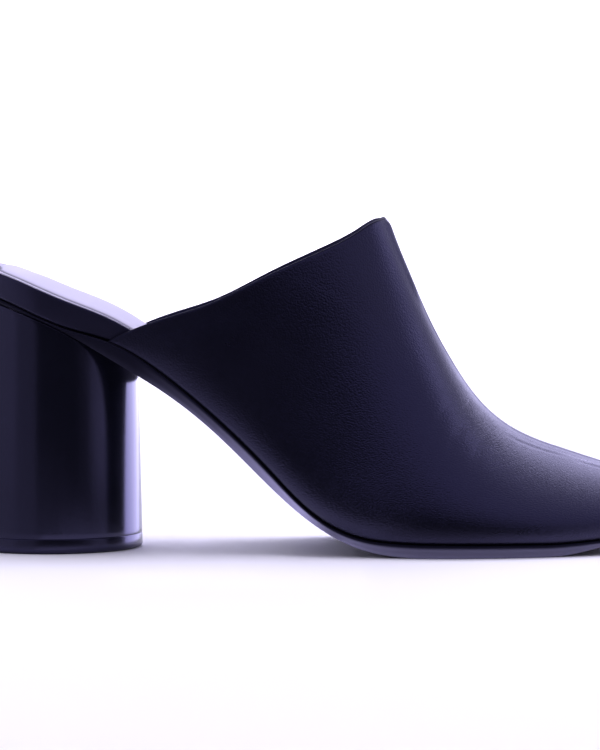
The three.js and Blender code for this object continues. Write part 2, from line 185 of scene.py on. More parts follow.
@dataclass
class SoleForm:
    """Outline and side view of the sole, which every other piece takes its place from."""

    toe_reach: float = 195
    seat_radius: float = 26.6
    ball_lateral: float = 43.2
    ball_medial: float = 39.9
    toe_shift: float = 3.5
    toe_length: float = 90
    toe_squareness: float = 2.25
    seat_rise: float = 79.4
    toe_spring: float = 6.3
    sole_thickness: float = 4.1
    board_thickness: float = 7.9
    clearance: float = 0.3
    seat_steps: int = 9
    waist_steps: int = 15
    toe_steps: int = 16
    # along, rise, spring, sole, board: shares of the toe's reach and of the sizes above
    side_view: tuple[tuple[float, ...], ...] = (
        (-0.14, 1, 0, 0.37, 0.83),
        (-0.05, 0.919, 0, 0.35, 0.96),
        (0.03, 0.832, 0, 0.35, 1),
        (0.1, 0.731, 0, 1.25, 0.84),
        (0.18, 0.61, 0, 1.24, 0.76),
        (0.26, 0.454, 0, 1.09, 0.61),
        (0.34, 0.263, 0, 1.09, 0.54),
        (0.39, 0.154, 0, 0.78, 0.46),
        (0.44, 0.073, 0, 0.68, 0.38),
        (0.49, 0.024, 0, 0.83, 0.33),
        (0.54, 0.0045, 0, 0.97, 0.31),
        (0.6, -0.0015, 0, 0.99, 0.31),
        (0.68, -0.0025, 0, 0.96, 0.31),
        (0.76, -0.0015, 0.01, 0.92, 0.31),
        (0.8, 0, 0.08, 0.84, 0.31),
        (0.85, 0, 0.38, 0.54, 0.29),
        (0.92, 0, 0.69, 0.47, 0.27),
        (1, 0, 1, 0.46, 0.27),
    )
    # along, lateral, medial, shift: shares of the halves of the ball and of the toe's shift
    top_view: tuple[tuple[float, ...], ...] = (
        (-0.14, 0.616, 0.667, 0),
        (0, 0.616, 0.662, 0),
        (0.1, 0.619, 0.644, 0),
        (0.205, 0.634, 0.624, 0),
        (0.31, 0.677, 0.637, 0),
        (0.41, 0.785, 0.717, 0),
        (0.51, 0.91, 0.837, 0),
        (0.59, 0.978, 0.915, 0.06),
        (0.67, 1, 0.96, 0.2),
        (0.77, 0.994, 0.987, 0.43),
        (0.9, 0.975, 0.997, 0.77),
        (1, 0.966, 1, 1),
    )

    def __post_init__(self) -> None:
        """Fits the curves through the two tables."""
        self.rise_at, self.spring_at, self.sole_at, self.board_at = column_curves(self.side_view)
        lateral, medial, self.shift_at = column_curves(self.top_view)
        self.half_at = {Side.LATERAL: lateral, Side.MEDIAL: medial}
        self.ball = {Side.LATERAL: self.ball_lateral, Side.MEDIAL: self.ball_medial}

    def underside(self, x: np.ndarray) -> np.ndarray:
        """Returns the height of the sole's underside at x."""
        along = x / self.toe_reach
        raised = self.seat_rise * self.rise_at(along) + self.toe_spring * self.spring_at(along)
        return np.maximum(0, raised)

    def sole_top(self, x: np.ndarray) -> np.ndarray:
        """Returns the height of the sole's upper side at x."""
        return self.underside(x) + self.sole_thickness * self.sole_at(x / self.toe_reach)

    def board_top(self, x: np.ndarray) -> np.ndarray:
        """Returns the height of the insole board's upper side at x."""
        board = self.board_thickness * self.board_at(x / self.toe_reach)
        return self.sole_top(x) + self.clearance + board

    def edge(self, side: Side, x: np.ndarray) -> np.ndarray:
        """Returns Y of the sole's edge on one side at x."""
        along = x / self.toe_reach
        back = np.clip(-x / self.seat_radius, 0, 1)
        front = np.clip(1 - (self.toe_reach - x) / self.toe_length, 0, 1)
        power = self.toe_squareness
        closing = np.sqrt(1 - back**2) * np.maximum(0, 1 - front**power) ** (1 / power)
        half = self.ball[side] * self.half_at[side](along)
        return self.toe_shift * self.shift_at(along) + side.value * half * closing

    def stations(self, refine: int) -> np.ndarray:
        """Places along the sole, closer together where the outline turns at its two ends.

        Args:
            refine: How many times finer than the solids.

        Returns:
            The places, from the back of the seat to the tip.
        """
        seat = np.arange(self.seat_steps * refine) / (self.seat_steps * refine)
        waist = np.arange(self.waist_steps * refine) / (self.waist_steps * refine)
        toe = np.arange(self.toe_steps * refine + 1) / (self.toe_steps * refine)
        turn = np.sin(QUARTER * toe) ** (2 / self.toe_squareness)
        return np.concatenate([
            -self.seat_radius * np.cos(QUARTER * seat),
            (self.toe_reach - self.toe_length) * waist,
            self.toe_reach - self.toe_length * (1 - turn),
        ])

    def line(self, side: Side, places: np.ndarray, inset: np.ndarray) -> np.ndarray:
        """One side of the outline, moved inwards.

        Args:
            side: Which side.
            places: Places along the sole.
            inset: How far each of them moves inwards.

        Returns:
            X and Y of each point.
        """
        y = {each: self.edge(each, places) for each in Side}
        middle = (y[Side.LATERAL] + y[Side.MEDIAL]) / 2
        rows = {}
        for each in Side:
            y[each][[0, -1]] = middle[[0, -1]]
            rows[each] = np.column_stack([places, y[each]])
        own = rows[side]
        other = rows[Side(-side.value)]
        run = np.vstack([own[1:], other[-2]]) - np.vstack([other[1], own[:-1]])
        run = unit(run)
        inwards = side.value * np.column_stack([run[:, 1], -run[:, 0]])
        return own + inwards * np.asarray(inset)[:, None]


def build_object(
    name: str,
    points: np.ndarray,
    faces: Sequence[Sequence[int]],
    sharp_angle: float = 50,
) -> bpy.types.Object:
    """Makes a smooth-shaded mesh object.

    Args:
        name: Name of the piece.
        points: Its points in millimetres.
        faces: Its faces, as indices of the points.
        sharp_angle: Edges that turn by more than this many degrees stay sharp.

    Returns:
        The object, linked to the scene.
    """
    mesh = bpy.data.meshes.new(name)
    mesh.from_pydata((np.asarray(points) * METRES).tolist(), [], [list(f) for f in faces])
    mesh.validate()
    mesh.update()
    mesh.shade_smooth()
    mesh.set_sharp_from_angle(angle=math.radians(sharp_angle))
    made = bpy.data.objects.new(name, mesh)
    bpy.context.scene.collection.objects.link(made)
    return made


def add_mask(made: bpy.types.Object, name: str, values: np.ndarray) -> None:
    """Gives each point of an object a number that its material can read.

    Args:
        made: The object.
        name: Name of the attribute.
        values: One number for each point.
    """
    layer = made.data.attributes.new(name, "FLOAT", "POINT")
    layer.data.foreach_set("value", np.asarray(values, np.float32))


def add_map(made: bpy.types.Object, name: str, values: np.ndarray) -> None:
    """Gives an object a flat map in millimetres of its surface.

    Args:
        made: The object.
        name: Name of the map.
        values: Two coordinates for each point.
    """
    layer = made.data.uv_layers.new(name=name)
    corner = np.empty(len(made.data.loops), np.int32)
    made.data.loops.foreach_get("vertex_index", corner)
    layer.data.foreach_set("uv", np.asarray(values, np.float32)[corner].ravel())


def grid_faces(rows: int, columns: int, start: int = 0, closed: bool = False) -> np.ndarray:
    """Quads of a grid whose points are stored row after row.

    Args:
        rows: Number of rows of points.
        columns: Number of points in a row.
        start: Index of the first point.
        closed: Whether the last column joins the first.

    Returns:
        Four indices for each quad.
    """
    across = columns if closed else columns - 1
    i, j = np.meshgrid(np.arange(rows - 1), np.arange(across), indexing="ij")
    after = (j + 1) % columns
    quads = [i * columns + j, i * columns + after, (i + 1) * columns + after, (i + 1) * columns + j]
    return start + np.stack(quads, axis=-1).reshape(-1, 4)


def point_normals(points: np.ndarray, quads: np.ndarray) -> np.ndarray:
    """Normals at the points of a mesh of quads.

    Args:
        points: Its points.
        quads: Four indices for each quad.

    Returns:
        A unit normal for each point.
    """
    a, b, c, d = (points[quads[:, k]] for k in range(4))
    flat = np.cross(c - a, d - b)
    total = np.zeros_like(points)
    for k in range(4):
        np.add.at(total, quads[:, k], flat)
    return unit(total)


@dataclass
class Layer:
    """One ring round a flat-lying piece: how far in, how high, and how much of the dark colour of ink and
    painted shade.
    """

    inset: Profile
    height: Profile
    mark: Profile = level(0)


def rounded(inset: Profile, height: Profile, radius: float, upwards: bool, steps: int = 4) -> list[Layer]:
    """Rings that round a corner of a flat-lying piece.

    Args:
        inset: How far in the side stands.
        height: Height of the flat face that meets the side.
        radius: Radius of the corner.
        upwards: True for the upper corner and False for the lower one.
        steps: Number of steps round the corner.

    Returns:
        The rings, from the bottom to the top.
    """
    rings = []
    for i in range(steps + 1):
        turn = QUARTER * i / steps
        inwards, drop = radius * (1 - math.cos(turn)), radius * (1 - math.sin(turn))
        way = -1 if upwards else 1
        rings.append(Layer(
            lambda x, inwards=inwards: inset(x) + inwards,
            lambda x, drop=drop: height(x) + way * drop,
        ))
    return rings if upwards else rings[::-1]


def build_slab(
    name: str,
    form: SoleForm,
    layers: Sequence[Layer],
    crown: Profile = level(0),
    refine: int = 4,
    crown_steps: int = 24,
) -> bpy.types.Object:
    """Makes a flat-lying piece with the outline of the sole.

    Args:
        name: Name of the piece.
        form: The sole that gives the outline.
        layers: Rings from the bottom to the top.
        crown: Extra height of the top along its middle.
        refine: How many times finer than the solids.
        crown_steps: Divisions across the top and the underside.

    Returns:
        The object, with a map in millimetres and the mask "mark".
    """
    places = form.stations(refine)
    last = len(places) - 1
    size = 2 * last
    points, marks = [], []
    for layer in layers:
        inset = layer.inset(places)
        near = form.line(Side.LATERAL, places, inset)
        far = form.line(Side.MEDIAL, places, inset)
        ring = np.vstack([near, far[1:last][::-1]])
        points.append(np.column_stack([ring, layer.height(ring[:, 0])]))
        marks.append(layer.mark(ring[:, 0]))
    faces = grid_faces(len(layers), size, closed=True).tolist()
    count = len(layers) * size
    for base, layer, lift, way in ((0, layers[0], level(0), -1), (count - size, layers[-1], crown, 1)):
        ring = points[base // size]
        left = np.arange(last + 1)
        right = (size - left) % size
        part = np.linspace(0, 1, crown_steps + 1)[None, :, None]
        cap = ring[left][:, None] * (1 - part) + ring[right][:, None] * part
        width = np.linalg.norm(ring[left] - ring[right], axis=1)
        ends = np.minimum(ring[left, 0] - ring[0, 0], ring[last, 0] - ring[left, 0])
        fullness = smoothstep(np.minimum(width, 2 * ends), 0, form.seat_radius)[:, None]
        bow = 4 * part[..., 0] * (1 - part[..., 0])
        cap[..., 2] = layer.height(cap[..., 0]) + lift(cap[..., 0]) * fullness * bow
        inner = cap[1:-1, 1:-1]
        index = np.full(cap.shape[:2], -1)
        index[:, 0] = base + left
        index[:, -1] = base + right
        index[0, :] = base
        index[-1, :] = base + last
        index[1:-1, 1:-1] = count + np.arange(inner.shape[0] * inner.shape[1]).reshape(inner.shape[:2])
        count += inner.shape[0] * inner.shape[1]
        points.append(inner.reshape(-1, 3))
        marks.append(layer.mark(points[-1][:, 0]))
        for quad in grid_faces(last + 1, crown_steps + 1):
            corners = list(dict.fromkeys(index.ravel()[quad].tolist()))
            if len(corners) > 2:
                faces.append(corners if way < 0 else corners[::-1])
    stacked = np.vstack(points)
    made = build_object(name, stacked, faces)
    flat = np.column_stack([stacked[:, 0], stacked[:, 1] + stacked[:, 2]])
    add_map(made, "leather", flat)
    add_mask(made, "mark", np.concatenate(marks))
    return made


def linear(colour: str) -> tuple[float, float, float, float]:
    """Turns an sRGB colour into linear light.

    Args:
        colour: Six hexadecimal digits.

    Returns:
        Red, green, blue and an alpha of one.
    """
    parts = [int(colour[i : i + 2], 16) / 255 for i in (0, 2, 4)]
    light = [p / 12.92 if p <= 0.04045 else ((p + 0.055) / 1.055) ** 2.4 for p in parts]
    return (*light, 1.0)


def add_node(
    tree: bpy.types.NodeTree,
    kind: str,
    inputs: dict[str | int, object] | None = None,
    **settings: object,
) -> bpy.types.Node:
    """Adds a node with its settings and links.

    Args:
        tree: Node tree of the material.
        kind: Type of the node.
        inputs: A value or a socket to link from, for each input.
        **settings: Properties of the node.

    Returns:
        The node.
    """
    node = tree.nodes.new(kind)
    for name, value in settings.items():
        setattr(node, name, value)
    for socket, value in (inputs or {}).items():
        if isinstance(value, bpy.types.NodeSocket):
            tree.links.new(value, node.inputs[socket])
        else:
            node.inputs[socket].default_value = value
    return node


def empty_material(name: str) -> tuple[bpy.types.Material, bpy.types.NodeTree, bpy.types.Node]:
    """Makes a material that holds one main shader.

    Args:
        name: Name of the material.

    Returns:
        The material, its node tree and the shader.
    """
    made = bpy.data.materials.new(name)
    made.use_nodes = True
    tree = made.node_tree
    tree.nodes.clear()
    shader = add_node(tree, "ShaderNodeBsdfPrincipled")
    add_node(tree, "ShaderNodeOutputMaterial", {"Surface": shader.outputs["BSDF"]})
    return made, tree, shader


@dataclass(frozen=True)
class FinishedLeather:
    """Calf leather, drum-dyed through, with a pigment finish and a light wax.

    The dye is nearly black and leaves the eye the soft violet shine of the wax. The natural
    grain breaks that shine up where it fades, most of all where the foot bends the vamp.
    """

    name: str
    deep: str = "04050a"
    worn: str = "080a11"
    # colour that the mask mixes in: ink and dark seams, and painted shade in creases, tucks and grooves
    mark_and_shade_colour: str = "050508"
    shine: str = "c0baff"
    shine_level: float = 0.85
    ior: float = 1.5
    roughness: float = 0.29
    roughness_spread: float = 0.05
    marked_roughness: float = 0.3
    marked_dulling: float = 0.6
    grain_mm: float = 0.6
    grain_wander: float = 0.7
    grain_depth_mm: float = 0.07
    pore_mm: float = 0.35
    pore_depth_mm: float = 0.02
    fold_mm: tuple[float, float] = (0.75, 6.5)
    fold_depth_mm: float = 0.15
    cloud_mm: float = 22
    flexes: bool = False

    def build(self) -> bpy.types.Material:
        """Returns the material."""
        made, tree, shader = empty_material(self.name)
        place = add_node(tree, "ShaderNodeUVMap", uv_map="leather").outputs["UV"]
        cloud = add_node(tree, "ShaderNodeTexNoise", {
            "Vector": place, "Scale": 1 / self.cloud_mm, "Detail": 3.0,
        })
        tone = add_node(tree, "ShaderNodeMix", {
            "Factor": cloud.outputs["Fac"], 6: linear(self.deep), 7: linear(self.worn),
        }, data_type="RGBA")
        # the mask darkens the colour and dulls the shine: ink and dark seams, and painted shade where it
        # covers creases, tucks and grooves
        mark = add_node(tree, "ShaderNodeAttribute", attribute_name="mark")
        colour = add_node(tree, "ShaderNodeMix", {
            "Factor": mark.outputs["Fac"], 6: tone.outputs[2], 7: linear(self.mark_and_shade_colour),
        }, data_type="RGBA")
        warp = add_node(tree, "ShaderNodeTexNoise", {
            "Vector": place, "Scale": self.grain_wander / self.grain_mm, "Detail": 1.0,
        })
        bent = add_node(tree, "ShaderNodeVectorMath", {
            0: warp.outputs["Color"], 1: (self.grain_mm,) * 3,
        }, operation="MULTIPLY")
        moved = add_node(tree, "ShaderNodeVectorMath", {0: place, 1: bent.outputs[0]}, operation="ADD")
        grain = add_node(tree, "ShaderNodeTexVoronoi", {
            "Vector": moved.outputs[0], "Scale": 1 / self.grain_mm,
        }, feature="F1", distance="EUCLIDEAN")
        pores = add_node(tree, "ShaderNodeTexNoise", {
            "Vector": place, "Scale": 1 / self.pore_mm, "Detail": 2.0,
        })
        relief = add_node(tree, "ShaderNodeMath", {
            0: grain.outputs["Distance"], 1: -self.grain_depth_mm * METRES,
        }, operation="MULTIPLY")
        relief = add_node(tree, "ShaderNodeMath", {
            0: pores.outputs["Fac"], 1: self.pore_depth_mm * METRES, 2: relief.outputs[0],
        }, operation="MULTIPLY_ADD")
        if self.flexes:
            lines = add_node(tree, "ShaderNodeMapping", {
                "Vector": moved.outputs[0], "Scale": (*self.fold_mm, 1),
            }, vector_type="TEXTURE")
            folds = add_node(tree, "ShaderNodeTexNoise", {
                "Vector": lines.outputs[0], "Scale": 1.0, "Detail": 1.0,
            })
            bend = add_node(tree, "ShaderNodeAttribute", attribute_name="flex")
            share = add_node(tree, "ShaderNodeMath", {
                0: bend.outputs["Fac"], 1: self.fold_depth_mm * METRES,
            }, operation="MULTIPLY")
            relief = add_node(tree, "ShaderNodeMath", {
                0: folds.outputs["Fac"], 1: share.outputs[0], 2: relief.outputs[0],
            }, operation="MULTIPLY_ADD")
        bump = add_node(tree, "ShaderNodeBump", {"Height": relief.outputs[0], "Distance": 1.0})
        gloss = add_node(tree, "ShaderNodeMapRange", {
            "Value": cloud.outputs["Fac"],
            "To Min": self.roughness - self.roughness_spread,
            "To Max": self.roughness + self.roughness_spread,
        })
        dull = add_node(tree, "ShaderNodeMath", {
            0: mark.outputs["Fac"], 1: self.marked_roughness, 2: gloss.outputs[0],
        }, operation="MULTIPLY_ADD")
        shining = add_node(tree, "ShaderNodeMapRange", {
            "Value": mark.outputs["Fac"],
            "To Min": self.shine_level,
            "To Max": self.shine_level * (1 - self.marked_dulling),
        })
        tree.links.new(colour.outputs[2], shader.inputs["Base Color"])
        tree.links.new(dull.outputs[0], shader.inputs["Roughness"])
        tree.links.new(shining.outputs[0], shader.inputs["Specular IOR Level"])
        tree.links.new(bump.outputs[0], shader.inputs["Normal"])
        shader.inputs["IOR"].default_value = self.ior
        shader.inputs["Specular Tint"].default_value = linear(self.shine)
        return made


@dataclass(frozen=True)
class LiftRubber:
    """Top-piece rubber, moulded, then trimmed flush and burnished: nearly as bright as the cover."""

    name: str = "burnished_moulded_rubber"
    colour: str = "09090e"
    shine: str = "c0baff"
    shine_level: float = 0.8
    ior: float = 1.52
    roughness: float = 0.24
    roughness_spread: float = 0.03
    pit_mm: float = 0.5
    pit_depth_mm: float = 0.002

    def build(self) -> bpy.types.Material:
        """Returns the material."""
        made, tree, shader = empty_material(self.name)
        place = add_node(tree, "ShaderNodeTexCoord").outputs["Object"]
        pits = add_node(tree, "ShaderNodeTexNoise", {
            "Vector": place, "Scale": 1 / (self.pit_mm * METRES), "Detail": 2.0,
        })
        depth = add_node(tree, "ShaderNodeMath", {
            0: pits.outputs["Fac"], 1: self.pit_depth_mm * METRES,
        }, operation="MULTIPLY")
        bump = add_node(tree, "ShaderNodeBump", {"Height": depth.outputs[0], "Distance": 1.0})
        gloss = add_node(tree, "ShaderNodeMapRange", {
            "Value": pits.outputs["Fac"],
            "To Min": self.roughness - self.roughness_spread,
            "To Max": self.roughness + self.roughness_spread,
        })
        tree.links.new(gloss.outputs[0], shader.inputs["Roughness"])
        tree.links.new(bump.outputs[0], shader.inputs["Normal"])
        shader.inputs["Base Color"].default_value = linear(self.colour)
        shader.inputs["Specular Tint"].default_value = linear(self.shine)
        shader.inputs["Specular IOR Level"].default_value = self.shine_level
        shader.inputs["IOR"].default_value = self.ior
        return made


@dataclass(frozen=True)
class Crease:
    """A soft trough across the vamp with low ridges beside it, placed one by one.

    row and lean say where it crosses the shoe, low and high where it fades towards the sole
    and towards the ridge, and width and depth are in millimetres.
    """

    side: Side
    row: float
    lean: float
    low: float
    high: float
    width: float
    depth: float


@dataclass(frozen=True)
class Streak:
    """A soft trough beside the seam, where the allowance under the leather ends.

    start and end are rows, reach is its distance from the seam at those rows, and width and
    depth are in millimetres too.
    """

    side: Side
    start: float
    end: float
    reach: tuple[float, float]
    width: float
    depth: float


@dataclass
class Upper:
    """The vamp: two halves closed down the centre front, with a folded topline."""

    sole: SoleForm
    # form of the last and the leather's walls, as in the solids
    instep_rise: float = 94.9
    throat_reach: float = 102
    collar_length: float = 84
    medial_tail_shift: float = 3
    wall: float = 1.8
    topline_wall: float = 1.2
    topline_band: float = 0.09
    topline_dip: float = 1.8
    medial_dip: float = 0.6
    feather_inset: float = 0.6
    roll: float = 2
    roll_height: float = 7
    fold_from: float = 0.6
    fold_to: float = 0.88
    column_growth: float = 0.35
    # grid of the skin, which is finest at the sole and beside the seam
    rows: int = 170
    columns: int = 82
    first_row: float = 0.0035
    sole_columns: Crowding = Crowding(0.003, 1.25, 9)
    seam_columns: Crowding = Crowding(0.0024, 1.16, 15)
    seam_rows: Crowding = Crowding(0.0012, 1.16, 12)
    # groove of the seam, the lips beside it and the lines of the grid that they reach
    seam_depth: float = 0.45
    seam_width: float = 0.5
    lip_height: float = 0.2
    lip_width: float = 0.85
    lip_reach: float = 1.5
    seam_reach: int = 26
    turn_reach: float = 2.2
    # throat, and the folded rim with the facing below it
    throat_band: float = 0.07
    throat_fullness: float = 0.9
    throat_rounding: float = 0.9
    throat_ease: float = 1.3
    throat_drop: float = 0.6
    throat_share: float = 0.9
    rim_steps: int = 6
    rim_step: float = 0.3
    rim_mark: float = 0.9
    facing_depth: float = 7
    # foot on the sole with a band of painted shade where it tucks, and the soft roll above it along the
    # waist
    foot_gap: float = 0.1
    foot_ease: float = 1.5
    tuck_depth: float = 0.22
    tuck_width: float = 0.6
    tuck_painted_shade: tuple[float, float] = (0.2, 0.84)
    waist_roll: float = 1.1
    waist_roll_height: float = 9
    waist_roll_end: float = 6
    waist_rows: tuple[float, ...] = (0, 0.08, 0.3, 0.55)
    # where the foot bends the vamp, and how creases and streaks fade at their ends
    bend_row: float = 0.57
    bend_spread: float = 0.09
    bend_low: tuple[float, float] = (0.3, 0.7)
    bend_high: tuple[float, float] = (0.93, 1)
    bend_eased: float = 0.5
    streak_fade: tuple[float, float] = (0.3, 0.75)
    crease_fade: tuple[float, float] = (0.18, 0.14)
    # row, along, height, aside, lean, stand, swell, roll: as in the solids
    ridge_rows: tuple[tuple[float, ...], ...] = (
        (0, 0, 1, 0, 0.9, 1, 0.07, 0),
        (0.115, 0.045, 0.898, 0, 0.95, 1, 0.065, 0.1),
        (0.238, 0.098, 0.776, 0.01, 1, 1, 0.055, 0.35),
        (0.371, 0.152, 0.659, 0.03, 1.06, 1, 0.04, 0.7),
        (0.466, 0.216, 0.545, 0.06, 1.13, 0.98, 0.028, 1),
        (0.547, 0.302, 0.4235, 0.115, 1.22, 0.95, 0.015, 1),
        (0.627, 0.419, 0.328, 0.19, 1.31, 0.92, 0.006, 1),
        (0.713, 0.57, 0.2655, 0.26, 1.36, 0.9, 0, 1),
        (0.8, 0.721, 0.2065, 0.27, 1.33, 0.88, 0, 0.95),
        (0.9, 0.84, 0.16, 0.24, 1.25, 0.86, 0, 0.85),
        (1, 0.914, 0.127, 0.2, 1.15, 0.85, 0, 0.8),
    )
    # part, dip: sag of the topline from the tail to the peak
    topline_rows: tuple[tuple[float, ...], ...] = (
        (0, 0), (0.1, -0.12), (0.22, 0.3), (0.36, 0.95), (0.55, 0.5),
        (0.78, 0.35), (0.9, -0.1), (0.96, -0.5), (1, -0.1),
    )
    creases: tuple[Crease, ...] = (
        Crease(Side.LATERAL, 0.485, 0.02, 0.45, 0.86, 1.6, 0.07),
        Crease(Side.LATERAL, 0.525, 0.03, 0.38, 0.9, 1.9, 0.1),
        Crease(Side.LATERAL, 0.57, 0.035, 0.4, 0.88, 2.1, 0.09),
        Crease(Side.LATERAL, 0.615, 0.03, 0.5, 0.84, 1.8, 0.06),
        Crease(Side.MEDIAL, 0.5, 0.02, 0.4, 0.88, 1.8, 0.09),
        Crease(Side.MEDIAL, 0.545, 0.03, 0.36, 0.86, 2.0, 0.1),
        Crease(Side.MEDIAL, 0.595, 0.03, 0.48, 0.84, 1.8, 0.07),
    )
    streaks: tuple[Streak, ...] = (
        Streak(Side.LATERAL, 0.6, 0.735, (14, 10.6), 1.5, 0.16),
        Streak(Side.LATERAL, 0.73, 0.87, (12.6, 10), 1.5, 0.16),
        Streak(Side.LATERAL, 0.62, 0.8, (8.2, 7), 1.6, 0.06),
        Streak(Side.LATERAL, -0.12, 0.32, (4.2, 3.2), 2.3, -0.42),
        Streak(Side.MEDIAL, 0.63, 0.8, (12, 10.5), 1.5, 0.12),
        Streak(Side.MEDIAL, -0.12, 0.32, (4.2, 3.2), 2.3, -0.42),
    )

    def __post_init__(self) -> None:
        """Fits the curves through the two tables."""
        curves = column_curves(self.ridge_rows)
        self.along_at, self.height_at, self.aside_at, self.lean_at = curves[:4]
        self.stand_at, self.swell_at, self.roll_at = curves[4:]
        self.dip_at = column_curves(self.topline_rows)[0]

    @property
    def tail_reach(self) -> float:
        """Returns X of the tail, where the topline meets the sole."""
        return self.throat_reach - self.collar_length

    def feather(self, side: Side, rows: np.ndarray) -> tuple[np.ndarray, np.ndarray]:
        """The line on the sole where the upper stands.

        Args:
            side: Which side.
            rows: Shares of the way from the tail to the toe.

        Returns:
            The points, and the level directions that point away from the shoe.
        """
        places = self.sole.stations(8)
        line = self.sole.line(side, places, np.full(len(places), self.feather_inset))
        tail = self.tail_reach + (self.medial_tail_shift if side is Side.MEDIAL else 0)
        first = int(np.argmax(line[:, 0] > tail))
        behind, ahead = line[first - 1], line[first]
        start = behind + (ahead - behind) * (tail - behind[0]) / (ahead[0] - behind[0])
        flat = np.vstack([start, line[first:]])
        points = np.column_stack([flat, self.sole.sole_top(flat[:, 0]) + self.sole.clearance])
        steps = np.linalg.norm(np.diff(points, axis=0), axis=1)
        lengths = np.concatenate([[0], np.cumsum(steps)])
        wanted = rows * lengths[-1]
        i = np.clip(np.searchsorted(lengths, wanted), 1, len(points) - 1)
        part = (wanted - lengths[i - 1]) / steps[i - 1]
        run = points[i] - points[i - 1]
        foot = points[i - 1] + run * part[:, None]
        outwards = np.column_stack([-side.value * run[:, 1], side.value * run[:, 0], 0 * part])
        return foot, unit(outwards)

    def ridge(self, rows: np.ndarray) -> np.ndarray:
        """Returns the points of the ridge at the rows."""
        x = self.throat_reach + (self.sole.toe_reach - self.throat_reach) * self.along_at(rows)
        y = self.sole.ball_medial * self.aside_at(rows)
        return np.column_stack([x, y, self.sole.sole_top(x) + self.instep_rise * self.height_at(rows)])

    def skin(self, side: Side, rows: np.ndarray, angles: np.ndarray) -> np.ndarray:
        """The smooth outer surface of one half.

        Args:
            side: Which half.
            rows: Shares of the way from the topline to the toe's front.
            angles: From 0 at the sole to a quarter turn at the ridge.

        Returns:
            A grid of points.
        """
        foot, outwards = self.feather(side, rows)
        reach = self.ridge(rows) - foot
        fold = smoothstep(rows, self.fold_from, self.fold_to)[:, None]
        across = 1 - np.cos(angles)[None] ** self.lean_at(rows)[:, None]
        up = np.sin(angles)[None] ** self.stand_at(rows)[:, None]
        grid = np.repeat(foot[:, None], len(angles), axis=1)
        grid[..., 0] += reach[:, :1] * (fold * across + (1 - fold) * up)
        grid[..., 1] += reach[:, 1:2] * across
        grid[..., 2] += reach[:, 2:] * up
        sag = self.topline_dip * self.dip_at(up)
        if side is Side.MEDIAL:
            sag = sag + self.medial_dip * np.sin(np.pi * up)
        grid[..., 2] -= sag * np.exp(-((rows[:, None] / self.topline_band) ** 2))
        stood = self.sole.sole_top(grid[..., 0]) + self.sole.clearance
        lift = np.maximum(0, grid[..., 2] - stood) / self.roll_height
        roll = self.roll * self.roll_at(rows)[:, None] * lift * np.exp(1 - lift)
        roll = roll * np.cos(angles)[None] ** 2
        swell = self.sole.ball_lateral * self.swell_at(rows)[:, None] * np.sin(2 * angles)[None]
        return grid + outwards[:, None] * (roll + swell)[..., None]

    def shares(self) -> np.ndarray:
        """Returns the columns' shares of the way up, closer together at the sole and at the seam."""
        low = self.sole_columns.steps()
        high = 1 - self.seam_columns.steps()[::-1]
        even = np.linspace(low[-1], high[0], self.columns - len(low) - len(high) + 1)
        return np.concatenate([[0.0], low, even[1:], high[1:], [1.0]])

    def places(self) -> np.ndarray:
        """Returns the rows' shares of the way forward, closer together beside the seam."""
        fine = 1 - self.seam_rows.steps()[::-1]
        even = np.linspace(self.first_row, fine[0], self.rows - len(fine) + 1)
        return np.concatenate([even, fine[1:], [1.0]])

    def both_halves(self, rows: np.ndarray, shares: np.ndarray) -> np.ndarray:
        """The whole smooth skin, rounded at the throat and let down on the sole.

        Args:
            rows: The rows' shares.
            shares: The columns' shares on one side.

        Returns:
            A grid of points, from the outer side's foot over the ridge to the inner side's.
        """
        angles = QUARTER * shares * (1 - self.column_growth * (1 - shares))
        near = self.skin(Side.LATERAL, rows, angles)
        far = self.skin(Side.MEDIAL, rows, angles)
        far[-1] = near[-1]
        grid = np.concatenate([near, far[:, -2::-1]], axis=1)
        ridge = grid[:, len(shares) - 1]
        down = np.linalg.norm(ridge - ridge[0], axis=1)[:, None]
        rounding = self.throat_rounding * np.exp(-((down / self.throat_ease) ** 2))
        rounding = rounding * smoothstep(mirrored(shares)[None], self.throat_share, 1)
        grid[..., 0] -= rounding
        grid[..., 2] -= self.throat_drop * rounding
        for edge in (0, -1):
            low = np.linalg.norm(grid - grid[:, [edge]], axis=2)
            grid[..., 2] -= (self.sole.clearance - self.foot_gap) * np.exp(-((low / self.foot_ease) ** 2))
        return grid

    def from_seam(self, grid: np.ndarray) -> np.ndarray:
        """Distances to the seam, which runs along the ridge and down the front of the toe.

        Args:
            grid: Grid of the smooth outer skin.

        Returns:
            The distance at each point, or a large number where the seam is out of reach.
        """
        middle = grid.shape[1] // 2
        seam = np.vstack([grid[:, middle], grid[-1, middle::-1]])
        dense = np.vstack([seam[:-1] + (seam[1:] - seam[:-1]) * t for t in (0, 0.25, 0.5, 0.75)])
        near = np.zeros(grid.shape[:2], bool)
        near[:, middle - self.seam_reach : middle + self.seam_reach + 1] = True
        near[-self.seam_reach :] = True
        away = np.full(near.size, FAR)
        points, batches = grid.reshape(-1, 3), 24
        for batch in np.array_split(np.flatnonzero(near), batches):
            gap = points[batch][:, None] - dense[None]
            away[batch] = np.sqrt((gap**2).sum(axis=2).min(axis=1))
        return away.reshape(near.shape)

